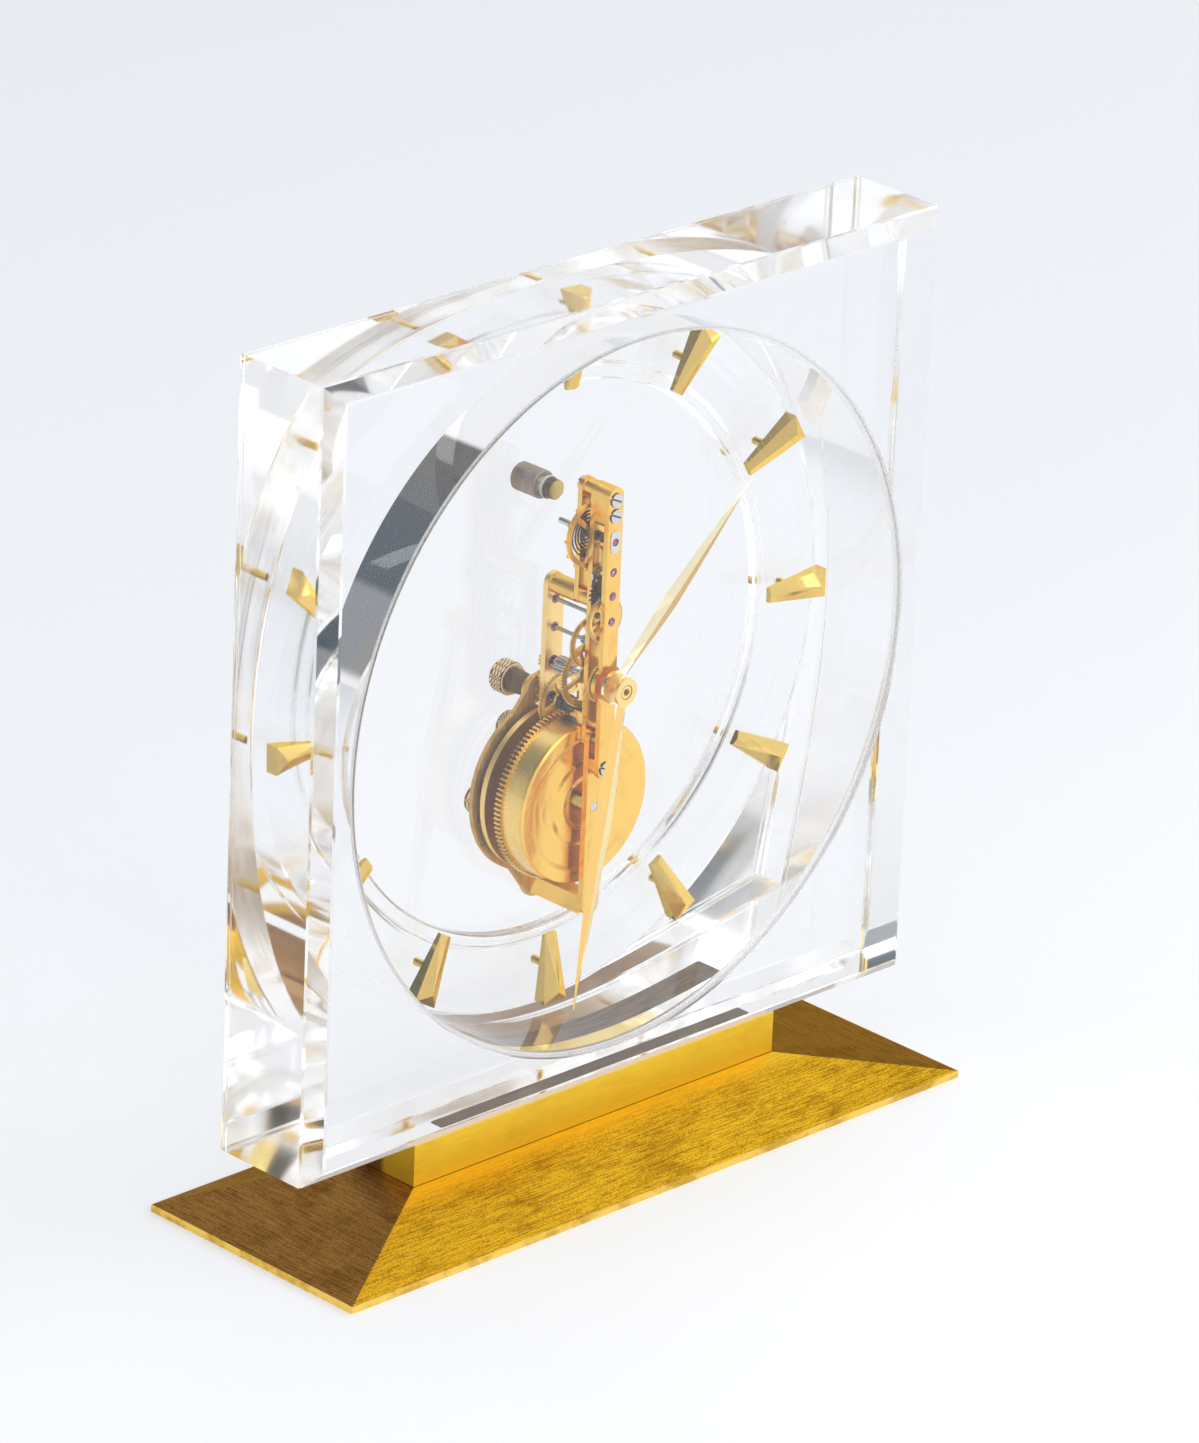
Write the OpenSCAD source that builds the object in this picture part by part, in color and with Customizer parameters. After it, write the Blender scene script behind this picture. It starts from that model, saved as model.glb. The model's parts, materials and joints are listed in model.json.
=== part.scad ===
// Skeleton desk clock: a clear square case on a brass foot, with an in-line hand-wound movement.
// Frame: origin under the middle of the foot, X to the right, Y to the back, Z up, dial facing -Y.

/* [Case] */
// Width and height of the clear case
case_width = 180; // [174:1:190]
// Depth of the clear case from front to back
case_depth = 32; // [32:0.5:36]
// Size of the chamfer round the front and back faces
case_chamfer = 3.6; // [2:0.2:4]
// Radius of the round bore behind the front glass, as a share of the case's width
bore_share = 0.447; // [0.44:0.001:0.45]
// Radius of the window through the back, as a share of the case's width
window_share = 0.347; // [0.342:0.001:0.35]
// Thickness of the ledge that carries the hour markers
ledge_thick = 5; // [4.5:0.25:5.5]
// Thickness of the front glass
glass_thick = 2.4; // [2:0.1:2.6]
// Thickness of the rear panel
panel_thick = 2.1; // [1.9:0.1:2.3]

/* [Foot] */
// Width of the base plinth
base_width = 184; // [180:1:196]
// Depth of the base plinth
base_depth = 63.6; // [62:0.4:70]
// Height of the upright edge round the plinth
base_edge = 1.6; // [1:0.1:2.4]
// Height of the plinth up to the neck
base_rise = 9.5; // [8.5:0.25:11]
// Width of the neck bar
neck_width = 108.6; // [100:0.4:116]
// Depth of the neck bar
neck_depth = 19.6; // [16:0.4:22]
// Height of the neck bar
neck_height = 11.7; // [10:0.1:14]

/* [Dial] */
// Length of an hour marker
marker_length = 15.4; // [14:0.2:16]
// Gap between the outer end of a marker and the bore
marker_gap = 1.9; // [1.5:0.1:3]
// Width of a marker at its inner end
marker_narrow = 3.4; // [2.8:0.1:4]
// Width of a marker at its outer end
marker_wide = 6.6; // [5.6:0.1:7.4]
// Length of the hour hand, as a share of the bore's radius
hour_share = 0.684; // [0.6:0.004:0.72]
// Length of the minute hand, as a share of the bore's radius
minute_share = 0.9; // [0.82:0.005:0.92]
// Width of the hour hand at its broadest
hour_width = 4.8; // [3.8:0.1:5.4]
// Width of the minute hand at its broadest
minute_width = 5.4; // [4.4:0.1:6]
// Hour shown, in whole hours
shown_hour = 1; // [0:1:11]
// Minutes shown past the hour
shown_minute = 31.5; // [0:0.25:59.75]

/* [Movement] */
// Width of the movement's bars
bar_width = 4.2; // [4:0.1:4.6]
// Thickness of the movement's bars
bar_thick = 1.3; // [1.2:0.05:1.4]
// Room between the front glass and the front bridge
hand_room = 6.6; // [6.4:0.05:6.8]
// Gap between the front bridge and the train bridge
train_gap = 3; // [2.9:0.05:3.2]
// Distance from the barrel axis to the intermediate arbor
barrel_mesh = 21; // [20.8:0.1:21.4]
// Distance from the intermediate arbor to the centre arbor
centre_mesh = 8.2; // [8:0.05:8.4]
// Distance from the centre arbor to the third arbor
third_mesh = 8; // [7.9:0.05:8.2]
// Distance from the third arbor to the fourth arbor
fourth_mesh = 6.5; // [6.4:0.05:6.6]
// Distance from the fourth arbor to the escape arbor
escape_mesh = 5.8; // [5.7:0.05:5.9]
// Distance from the escape arbor to the lever arbor
lever_rise = 5.5; // [5.4:0.05:5.6]
// Distance from the lever arbor to the balance staff
balance_rise = 6.9; // [6.8:0.05:7.1]
// Radius of the balance rim
balance_radius = 7.6; // [7.2:0.1:7.7]
// Gap between the train bridge and the barrel's cover
barrel_gap = 0.1; // [0.1:0.05:0.3]

/* [Rear controls] */
// Radius of the setting knob
knob_radius = 3.9; // [3.4:0.1:4.2]
// Radius of the winding knob
winder_radius = 5.2; // [4.6:0.1:5.6]
// Radius of the thumb screw heads
thumb_radius = 3.6; // [3:0.1:3.7]
// Radius of the circle of thumb screws round the barrel axis
thumb_circle = 10; // [9.8:0.1:10.4]
// Radius of the access plug's head
plug_radius = 3.2; // [2.9:0.1:3.6]

/* [Hidden] */
$fn = 96;
// Small gap between pressed or bonded pieces
fit = 0.01;
// Gap round a turning pivot
run = 0.03;
// Gap round a piece that slides into a rebate
seat = 0.1;
// Radius of a train pivot
pivot = 0.25;

// Radii and lengths that follow the case
bore_radius = bore_share * case_width;
window_radius = window_share * case_width;
panel_radius = window_radius + 3.5;
glass_radius = bore_radius + 1;
marker_outer = bore_radius - marker_gap;
marker_inner = marker_outer - marker_length;
marker_pin_r = marker_outer - marker_length / 2;
hour_length = hour_share * bore_radius;
minute_length = minute_share * bore_radius;

// Heights
neck_top = base_rise + neck_height;
dial_z = neck_top + case_width / 2;
mid_z = dial_z - centre_mesh;
barrel_z = mid_z - barrel_mesh;
third_z = dial_z + third_mesh;
fourth_z = third_z + fourth_mesh;
escape_z = fourth_z + escape_mesh;
lever_z = escape_z + lever_rise;
balance_z = lever_z + balance_rise;
pillar_z = fourth_z + 3.6;
top_z = balance_z + balance_radius + 2.8;
bar_top = top_z + 2;
plug_z = balance_z + 6.3;
foot_z = barrel_z - 23;
minute_z = dial_z - 5.5;
idler_z = dial_z - centre_mesh / 2;

// Depths, from the front of the case to its back
case_front = -case_depth / 2;
case_back = case_depth / 2;
glass_back = case_front + glass_thick;
bridge_y = glass_back + hand_room;
bridge_back = bridge_y + bar_thick;
train_y = bridge_back + train_gap;
train_back = train_y + bar_thick;
arm_y = train_back + 2.7;
arm_back = arm_y + bar_thick;
panel_y = case_back - panel_thick;
lobe_y = panel_y - 1;
plate_back = lobe_y - 1.4;
plate_y = plate_back - 1.4;
barrel_back = plate_y - 3.4;
barrel_front = train_back + barrel_gap;
ledge_y = case_back - ledge_thick;
marker_back = ledge_y - 2.6;
hour_y = bridge_y - 1.4;
minute_y = hour_y - 3.2;
boss_front = minute_y - 0.9;
nut_seat = boss_front + 0.5;
nut_radius = 1.5;
knob_y = case_back + 7.4;

// Tooth counts of the train, the motion work and the setting work
barrel_teeth = 108;
mid_leaves = 10;
mid_teeth = 50;
centre_leaves = 14;
centre_teeth = 64;
third_leaves = 8;
third_teeth = 60;
fourth_leaves = 8;
fourth_teeth = 60;
escape_leaves = 10;
escape_teeth = 20;
cannon_leaves = 12;
minute_teeth = 36;
minute_leaves = 10;
hour_teeth = 40;
setting_teeth = 14;
ratchet_teeth = 24;

// Radii that several pieces share
barrel_wall = 18.6;
main_radius = 19;
lobe_radius = 20;
shoulder = 0.65 * lobe_radius;
top_lobe = 5;
foot_lobe = 3.8;
escape_radius = 3.6;
ratchet_radius = 6.2;
setting_shaft = 1.2;
winding_shaft = 2;
marker_pin = 0.9;
screw_x = 0.387 * neck_width;
screw_shank = 1.95;
screw_head = 3.6;
head_height = 2.8;
head_recess = 1.2;
arm_width = 5;
click_angle = 30;
click_arm = 8.6;

gold = "#d8a640";
dark_gold = "#a8742a";
steel = "#8f949c";
dark_steel = "#4d545c";
ruby = "#9c1f3c";
clear = [0.86, 0.92, 0.96, 0.35];

// A round rod along Y, from depth y0 to depth y1
module rod(y0, y1, r) {
    translate([0, y0, 0])
        rotate([-90, 0, 0])
            cylinder(h = y1 - y0, r = r);
}

// A cone frustum along Y, from depth y0 to depth y1
module taper(y0, y1, r0, r1) {
    translate([0, y0, 0])
        rotate([-90, 0, 0])
            cylinder(h = y1 - y0, r1 = r0, r2 = r1);
}

// A flat outline drawn in X and Z, thickened from depth y0 to depth y1
module slab(y0, y1) {
    translate([0, y1, 0])
        rotate([90, 0, 0])
            linear_extrude(height = y1 - y0)
                children();
}

module at(z) {
    translate([0, 0, z])
        children();
}

// A bar outline with round ends, drawn in X and Z
module bar_outline(z0, z1, width) {
    translate([-width / 2, z0 + width / 2])
        square([width, z1 - z0 - width]);
    translate([0, z0 + width / 2])
        circle(d = width);
    translate([0, z1 - width / 2])
        circle(d = width);
}

// Points of a gear with involute flanks, one tooth centred on +X before it is turned
pressure = 25;
function involute(a) = tan(a) * 180 / PI - a;
function flank_angle(r, base, half) =
    half + involute(pressure) - involute(r > base ? acos(base / r) : 0);
function gear_points(teeth, module_size, steps) =
    let (pitch_r = teeth * module_size / 2)
    let (base = pitch_r * cos(pressure))
    let (tip = pitch_r + 0.75 * module_size)
    let (root = pitch_r - 1.05 * module_size)
    let (low = max(base, root))
    let (half = 90 / teeth - 7 / teeth)
    let (radii = [root, for (k = [0:steps]) low + (tip - low) * k / steps])
    let (count = len(radii))
    [
        for (tooth = [0:teeth - 1])
            for (k = [0:2 * count - 1])
                let (r = k < count ? radii[k] : radii[2 * count - 1 - k])
                let (side = k < count ? -1 : 1)
                let (angle = 360 * tooth / teeth + side * flank_angle(max(r, low), base, half))
                r * [cos(angle), sin(angle)]
    ];

// Gear outline with a tooth straight up, or with a gap straight down
module gear_tooth_up(teeth, module_size, steps = 1) {
    rotate(90)
        polygon(gear_points(teeth, module_size, steps));
}

module gear_gap_down(teeth, module_size, steps = 1) {
    rotate(-90 + 180 / teeth)
        polygon(gear_points(teeth, module_size, steps));
}

// Windows between the spokes of a wheel
module windows(outer, inner, spokes, width) {
    difference() {
        circle(r = outer);
        circle(r = inner);
        for (spoke = [0:spokes - 1])
            rotate(360 * spoke / spokes + 18)
                translate([0, -width / 2])
                    square([outer + 1, width]);
    }
}

function mesh_module(distance, a, b) = 2 * distance / (a + b);
mod_barrel = mesh_module(barrel_mesh, barrel_teeth, mid_leaves);
mod_centre = mesh_module(centre_mesh, mid_teeth, centre_leaves);
mod_third = mesh_module(third_mesh, centre_teeth, third_leaves);
mod_fourth = mesh_module(fourth_mesh, third_teeth, fourth_leaves);
mod_escape = mesh_module(escape_mesh, fourth_teeth, escape_leaves);
mod_cannon = mesh_module(dial_z - minute_z, cannon_leaves, minute_teeth);
mod_hour = mesh_module(dial_z - minute_z, minute_leaves, hour_teeth);
mod_setting = mesh_module(centre_mesh / 2, setting_teeth, setting_teeth);

// An arbor along Y with a thin pivot at each end
module arbor(y0, y1, r, front_pivot, rear_pivot) {
    rod(y0, y1, pivot);
    rod(y0 + front_pivot, y1 - rear_pivot, r);
}

// Foot

module base_plinth() {
    side = [[-base_width / 2, 0], [base_width / 2, 0], [base_width / 2, base_edge],
        [neck_width / 2, base_rise], [-neck_width / 2, base_rise], [-base_width / 2, base_edge]];
    end = [[-base_depth / 2, 0], [base_depth / 2, 0], [base_depth / 2, base_edge],
        [neck_depth / 2, base_rise], [-neck_depth / 2, base_rise], [-base_depth / 2, base_edge]];
    color(gold)
        difference() {
            intersection() {
                slab(-base_depth, base_depth)
                    polygon(side);
                translate([-base_width, 0, 0])
                    rotate([90, 0, 90])
                        linear_extrude(height = 2 * base_width)
                            polygon(end);
            }
            for (side = [-1, 1])
                translate([side * screw_x, 0, 0]) {
                    translate([0, 0, -1])
                        cylinder(h = base_rise + 2, r = screw_shank + seat);
                    translate([0, 0, -1])
                        cylinder(h = head_recess + head_height + 1, r = screw_head + 5 * seat);
                }
        }
}

module neck_bar() {
    color(gold)
        difference() {
            translate([-neck_width / 2, -neck_depth / 2, base_rise])
                cube([neck_width, neck_depth, neck_height]);
            for (side = [-1, 1])
                translate([side * screw_x, 0, base_rise - 1])
                    cylinder(h = neck_height - 0.8, r = screw_shank + fit);
        }
}

module base_screws() {
    color(steel)
        for (side = [-1, 1])
            translate([side * screw_x, 0, 0])
                difference() {
                    union() {
                        translate([0, 0, head_recess])
                            cylinder(h = head_height, r = screw_head);
                        translate([0, 0, head_recess])
                            cylinder(h = neck_top - head_recess - 2, r = screw_shank);
                    }
                    translate([-screw_head - 1, -0.5, 0])
                        cube([2 * screw_head + 2, 1, head_recess + 1]);
                }
}

// Clear case, front glass and rear panel

// A block outline with its four corners cut off
module cut_corners(width, depth) {
    w = width / 2;
    d = depth / 2;
    c = case_chamfer;
    polygon([[-w, -d + c], [-w + c, -d], [w - c, -d], [w, -d + c],
        [w, d - c], [w - c, d], [-w + c, d], [-w, d - c]]);
}

module acrylic_case() {
    color(clear)
        difference() {
            intersection() {
                at(neck_top)
                    linear_extrude(height = case_width)
                        cut_corners(case_width, case_depth);
                translate([-case_width / 2, 0, dial_z])
                    rotate([0, 90, 0])
                        linear_extrude(height = case_width)
                            cut_corners(case_width, case_depth);
            }
            at(dial_z) {
                rod(case_front - 1, ledge_y, bore_radius);
                rod(case_front - 1, glass_back, glass_radius);
                rod(ledge_y - 1, case_back + 1, window_radius);
                rod(panel_y, case_back + 1, panel_radius);
                for (hour = [1:12])
                    rotate([0, 30 * hour, 0])
                        at(marker_pin_r)
                            rod(ledge_y - 1, ledge_y + 3.2, marker_pin + fit);
            }
        }
}

module front_glass() {
    color(clear)
        at(dial_z)
            rod(case_front, glass_back, glass_radius - seat);
}

module rear_panel() {
    color(clear)
        difference() {
            at(dial_z)
                rod(panel_y, case_back, panel_radius - seat);
            at(mid_z)
                rod(panel_y - 1, case_back + 1, 2.2);
            at(barrel_z)
                rod(panel_y - 1, case_back + 1, 3.2);
            thumb_places()
                rod(panel_y - 1, case_back + 1, 1.6);
            at(plug_z)
                rod(panel_y - 1, case_back + 1, 2.1);
        }
}

// Hour markers and hands

module hour_marker(hour) {
    ni = marker_narrow / 2;
    wo = marker_wide / 2;
    inner_edge = marker_back - 0.9;
    inner_ridge = marker_back - 1.5;
    outer_edge = marker_back - 3.1;
    outer_ridge = marker_back - 4.3;
    hip = marker_outer - 2.4;
    color(gold)
        at(dial_z)
            rotate([0, 30 * hour, 0])
                union() {
                    polyhedron(
                        points = [
                            [-ni, marker_back, marker_inner],
                            [ni, marker_back, marker_inner],
                            [wo, marker_back, marker_outer],
                            [-wo, marker_back, marker_outer],
                            [-ni, inner_edge, marker_inner],
                            [ni, inner_edge, marker_inner],
                            [wo, outer_edge, marker_outer],
                            [-wo, outer_edge, marker_outer],
                            [0, inner_ridge, marker_inner],
                            [0, outer_ridge, hip]
                        ],
                        faces = [
                            [0, 1, 2, 3], [3, 7, 4, 0], [5, 6, 2, 1], [4, 8, 5, 1, 0],
                            [6, 7, 3, 2], [9, 7, 6], [9, 8, 4], [7, 9, 4], [8, 9, 5], [9, 6, 5]
                        ]
                    );
                    at(marker_pin_r)
                        rod(marker_back - 0.5, ledge_y + 3, marker_pin);
                }
}

// Half the width of a leaf-shaped hand at a share of its length, broadest at two fifths
function leaf_half(share, root, belly) =
    share < 0.4
        ? (root + (belly - root) * pow(sin(90 * share / 0.4), 2)) / 2
        : 0.12 + (belly / 2 - 0.12) * (1 - pow((share - 0.4) / 0.6, 1.2));

// A leaf-shaped hand blade with a ridge down its front, pointing up from the dial centre
blade_steps = 10;
module blade(reach, back_y, thick, root_width, belly_width) {
    count = blade_steps + 1;
    shares = [for (k = [0:blade_steps]) k / blade_steps];
    heights = [for (t = shares) 1.6 + (reach - 1.6) * t];
    halves = [for (t = shares) leaf_half(t, root_width, belly_width)];
    ridges = [for (t = shares) back_y - thick * (1 - 0.7 * t)];
    last = blade_steps;
    polyhedron(
        points = [
            for (k = [0:last]) [-halves[k], back_y, heights[k]],
            for (k = [0:last]) [halves[k], back_y, heights[k]],
            for (k = [0:last]) [0, ridges[k], heights[k]]
        ],
        faces = [
            [2 * count, count, 0],
            [count + last, 2 * count + last, last],
            for (k = [0:last - 1]) [count + k + 1, k + 1, k],
            for (k = [0:last - 1]) [count + k, count + k + 1, k],
            for (k = [0:last - 1]) [2 * count + k + 1, 2 * count + k, k],
            for (k = [0:last - 1]) [k + 1, 2 * count + k + 1, k],
            for (k = [0:last - 1]) [2 * count + k + 1, count + k + 1, count + k],
            for (k = [0:last - 1]) [2 * count + k, 2 * count + k + 1, count + k]
        ]
    );
}

minute_turn = 6 * shown_minute;
hour_turn = 30 * shown_hour + shown_minute / 2;

module minute_hand() {
    color(gold)
        at(dial_z)
            difference() {
                union() {
                    rotate([0, minute_turn, 0])
                        blade(minute_length, minute_y, 1, 2.6, minute_width);
                    rod(boss_front, minute_y, 3.1);
                }
                rod(boss_front - 1, nut_seat, nut_radius + fit);
                rod(minute_y - 2, minute_y + 1, 1 + fit);
            }
}

module hour_hand() {
    color(gold)
        at(dial_z)
            difference() {
                union() {
                    rotate([0, hour_turn, 0])
                        blade(hour_length, hour_y, 0.9, 2.6, hour_width);
                    rod(hour_y - 0.8, hour_y, 3.7);
                }
                rod(hour_y - 2, hour_y + 1, 1.6 + fit);
            }
}

module hand_nut() {
    color(gold)
        at(dial_z)
            difference() {
                rod(boss_front + 0.1, nut_seat - fit, nut_radius);
                rod(boss_front, nut_seat + 1, 0.85);
            }
}

// Plates, bridges and pillars

module thumb_places() {
    at(barrel_z)
        for (angle = [0, 120, 240])
            rotate([0, angle, 0])
                at(thumb_circle)
                    children();
}

module main_plate() {
    color(gold)
        difference() {
            union() {
                slab(plate_y, plate_back) {
                    translate([0, barrel_z])
                        circle(r = main_radius);
                    bar_outline(barrel_z, pillar_z + 2.5, arm_width);
                }
                at(idler_z)
                    rod(plate_y + 0.5, lobe_y - 0.2, 0.6);
            }
            for (z = [fourth_z, third_z])
                at(z)
                    rod(plate_y - 1, plate_back + 1, 1.1 + fit);
            at(dial_z)
                rod(plate_y - 1, plate_back + 1, 1.4 + fit);
            at(mid_z)
                rod(plate_y - 1, plate_back + 1, 1.3 + fit);
            at(barrel_z)
                rod(plate_y - 1, plate_back + 1, winding_shaft + run);
            at(pillar_z)
                rod(plate_y - 1, plate_back + 1, 0.6);
            thumb_places()
                rod(plate_y - 1, plate_back + 1, 1.5 + fit);
            click_place()
                rod(plate_y - 1, plate_back + 1, 0.6 + run);
        }
}

module rear_plate() {
    color(dark_gold)
        difference() {
            slab(lobe_y, panel_y) {
                translate([0, barrel_z])
                    circle(r = lobe_radius);
                translate([0, mid_z])
                    circle(r = top_lobe);
                polygon([[-shoulder, barrel_z + shoulder],
                    [shoulder, barrel_z + shoulder],
                    [0.88 * top_lobe, mid_z + 0.4 * top_lobe],
                    [-0.88 * top_lobe, mid_z + 0.4 * top_lobe]]);
                translate([0, foot_z])
                    circle(r = foot_lobe);
                polygon([[-0.88 * foot_lobe, foot_z - 0.4 * foot_lobe],
                    [0.88 * foot_lobe, foot_z - 0.4 * foot_lobe],
                    [0.85 * shoulder, barrel_z - 1.08 * shoulder],
                    [-0.85 * shoulder, barrel_z - 1.08 * shoulder]]);
            }
            at(mid_z)
                rod(lobe_y - 1, panel_y + 1, 3);
            at(barrel_z)
                rod(lobe_y - 1, panel_y + 1, 3.2);
            at(foot_z)
                rod(lobe_y - 1, panel_y + 1, 0.9);
            thumb_places()
                rod(lobe_y - 1, panel_y + 1, 1.6);
            click_place()
                rod(lobe_y - 1, panel_y + 1, 0.6 + run);
        }
}

module front_bridge() {
    color(gold)
        difference() {
            slab(bridge_y, bridge_back) {
                bar_outline(barrel_z + 7.2, bar_top, bar_width);
                translate([0, dial_z])
                    circle(r = 4.2);
            }
            at(dial_z)
                rod(bridge_y - 1, bridge_back + 1, 1.6 + run);
            for (z = [fourth_z, escape_z, lever_z])
                at(z)
                    rod(bridge_y - 1, bridge_back + 1, 1 + fit);
            at(balance_z)
                shock_outline(bridge_y - 1, bridge_back + 1, fit);
            for (z = bridge_screw_z)
                at(z) {
                    rod(bridge_y - 1, bridge_y + 0.5, 1.65);
                    rod(bridge_y - 1, bridge_back + 1, 0.75);
                }
        }
}

link_z = barrel_z + 15.6;
bridge_screw_z = [barrel_z + 9.7, balance_z + 5.9, balance_z + 9.5];

module shock_outline(y0, y1, grow) {
    slab(y0, y1)
        bar_outline(-2.6 - grow, 2.6 + grow, 2.6 + 2 * grow);
}

module train_bridge() {
    color(gold)
        difference() {
            union() {
                slab(train_y, train_back)
                    bar_outline(barrel_z + 13.2, bar_top, bar_width);
                at(minute_z)
                    rod(bridge_back + 0.15, train_y + 0.5, 0.5);
            }
            for (z = [mid_z, third_z, escape_z, lever_z])
                at(z)
                    rod(train_y - 1, train_back + 1, pivot + run);
            at(dial_z)
                rod(train_y - 1, train_back + 1, 0.7 + run);
            at(fourth_z)
                rod(train_y - 1, train_back + 1, 0.8);
            at(balance_z)
                rod(train_y - 1, train_back + 1, 1);
            at(pillar_z) {
                rod(train_y - 1, train_y + 0.4, 0.95);
                rod(train_y - 1, train_back + 1, 0.6);
            }
            at(link_z)
                rod(train_y - 1, train_back + 1, 0.6 + fit);
        }
}

module balance_bridge() {
    color(gold)
        difference() {
            slab(arm_y, arm_back)
                bar_outline(pillar_z - 2, bar_top, bar_width);
            at(pillar_z)
                rod(arm_y - 1, arm_back + 1, 0.6 + fit);
            at(balance_z)
                rod(arm_y - 1, arm_back + 1, 1.1 + fit);
            at(top_z)
                rod(arm_y - 1, arm_back + 1, 0.75);
        }
}

module barrel_bridge() {
    front = train_y - 1.5;
    color(gold)
        difference() {
            union() {
                slab(front, train_y)
                    bar_outline(foot_z - 2.4, barrel_z + 18.2, bar_width + 0.6);
                at(bridge_screw_z[0])
                    rod(bridge_back, train_y, bar_width / 2);
            }
            at(barrel_z)
                rod(front - 1, train_y + 1, 1 + run);
            at(bridge_screw_z[0])
                rod(bridge_back - 1, train_y + 1, 0.7 + fit);
            at(foot_z) {
                rod(front - 1, front + 0.5, 1.65);
                rod(front - 1, train_y + 1, 0.75);
            }
            at(link_z)
                rod(front - 1, train_y + 1, 0.6 + fit);
        }
}

module frame_pillars() {
    color(dark_gold) {
        difference() {
            slab(bridge_back, train_y)
                bar_outline(balance_z + 2.8, bar_top, bar_width);
            for (k = [1, 2])
                at(bridge_screw_z[k])
                    rod(bridge_back - 1, bridge_back + 2.7, 0.7 + fit);
        }
        at(top_z)
            difference() {
                rod(train_back, arm_y, 1.8);
                rod(arm_y - 2.2, arm_y + 1, 0.7 + fit);
            }
        at(pillar_z) {
            difference() {
                rod(train_back, arm_y, 2);
                rod(train_back - 1, arm_y + 1, 0.6 + fit);
            }
            difference() {
                rod(arm_back, plate_y, 2.2);
                rod(plate_y - 2.2, plate_y + 1, 0.6 + fit);
                rod(arm_back - 1, arm_back + 2.2, 0.6 + fit);
            }
        }
        difference() {
            translate([-2.2, train_y, foot_z - 2.2])
                cube([4.4, lobe_y - train_y, 4.2]);
            at(foot_z) {
                rod(train_y - 1, train_y + 5, 0.7 + fit);
                rod(lobe_y - 4, lobe_y + 1, 0.8 + fit);
            }
        }
    }
}

// A ring that bears a pivot, with a small dish round its hole
module bearing(y0, y1, outer, hole) {
    difference() {
        rod(y0, y1, outer);
        rod(y0 - 1, y1 + 1, hole);
    }
}

module jewels() {
    color(ruby) {
        for (z = [fourth_z, escape_z, lever_z])
            at(z)
                bearing(bridge_y, bridge_back, 1, pivot + run);
        for (z = [fourth_z, third_z])
            at(z)
                bearing(plate_y, plate_back, 1.1, pivot + run);
        at(dial_z)
            bearing(plate_y, plate_back, 1.4, 0.6 + run);
        at(mid_z)
            bearing(plate_y, plate_back, 1.3, pivot + run);
        at(balance_z)
            bearing(arm_y, arm_back, 1.1, pivot + run);
    }
}

// Setting in front of the balance staff, and the bearing screw behind it
module shock_setting() {
    color(steel)
        at(balance_z) {
            difference() {
                shock_outline(bridge_y - 0.2, bridge_back, 0);
                rod(bridge_y - 1, bridge_back + 1, pivot + run);
                rod(bridge_y - 1, bridge_y + 0.3, 0.9);
            }
            rod(arm_back, arm_back + 0.5, 1.6);
            rod(arm_back, arm_back + 7, 0.7);
        }
}

// A slotted screw with its head at depth y0 and its shank going back
module slotted_screw(y0, reach, head, shank) {
    difference() {
        union() {
            rod(y0, y0 + 0.9, head);
            rod(y0, y0 + reach, shank);
        }
        rotate([0, 25, 0])
            translate([-head - 1, y0 - 1, -0.2])
                cube([2 * head + 2, 1.4, 0.4]);
    }
}

module bridge_screws() {
    color(steel) {
        for (z = bridge_screw_z)
            at(z)
                slotted_screw(bridge_y - 0.4, bar_thick + 2.7, 1.6, 0.7);
        at(foot_z)
            slotted_screw(train_y - 1.9, 6, 1.6, 0.7);
        at(link_z)
            slotted_screw(train_y - 2.4, 3.5, 1.1, 0.6);
        at(top_z)
            mirror([0, 1, 0])
                slotted_screw(-arm_back - 0.9, bar_thick + 2.6, 1.6, 0.7);
        at(pillar_z)
            mirror([0, 1, 0])
                slotted_screw(-plate_back - 0.9, 1.4 + 2.6, 1.4, 0.58);
        at(pillar_z)
            slotted_screw(train_y - 0.5, arm_back + 2 - train_y + 0.5, 0.9, 0.58);
        at(foot_z)
            mirror([0, 1, 0])
                slotted_screw(-panel_y + 0.1, 4.2, 0.8, 0.8);
    }
}

module thumb_screws() {
    color(dark_gold)
        thumb_places() {
            rod(plate_y + 0.2, case_back + 1, 1.5);
            rod(case_back, case_back + 2, 2.6);
            rod(case_back + 2, case_back + 8, thumb_radius);
            taper(case_back + 8, case_back + 8.7, thumb_radius, thumb_radius - 0.7);
        }
}

module access_plug() {
    color(dark_gold)
        at(plug_z) {
            rod(panel_y - 0.6, case_back + 0.5, 2);
            taper(panel_y - 2.9, panel_y - 0.6, 2.3, 2.6);
            rod(panel_y - 0.6, panel_y, 2.6);
            rod(case_back, case_back + 7, plug_radius);
            taper(case_back + 7, case_back + 7.5, plug_radius, plug_radius - 0.5);
        }
}

module shaft_bushes() {
    color(gold) {
        at(mid_z)
            difference() {
                union() {
                    rod(panel_y, case_back + 1, 2.2 - fit);
                    rod(case_back, case_back + 1, 3.4);
                }
                rod(panel_y - 1, case_back + 2, setting_shaft + run);
            }
        at(barrel_z)
            difference() {
                union() {
                    rod(lobe_y, case_back + 1, 3.2 - fit);
                    rod(case_back, case_back + 1, 4.4);
                }
                rod(lobe_y - 1, case_back + 2, winding_shaft + run);
            }
    }
}

// Barrel and winding work

module barrel_drum() {
    color(gold)
        at(barrel_z)
            difference() {
                union() {
                    rod(barrel_front + 1.2, barrel_back, barrel_wall);
                    slab(barrel_back - 1.5, barrel_back)
                        gear_tooth_up(barrel_teeth, mod_barrel);
                }
                rod(barrel_front, barrel_back - 1.5, barrel_wall - 1.2);
                rod(barrel_front, barrel_back + 1, winding_shaft + run);
            }
}

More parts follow.
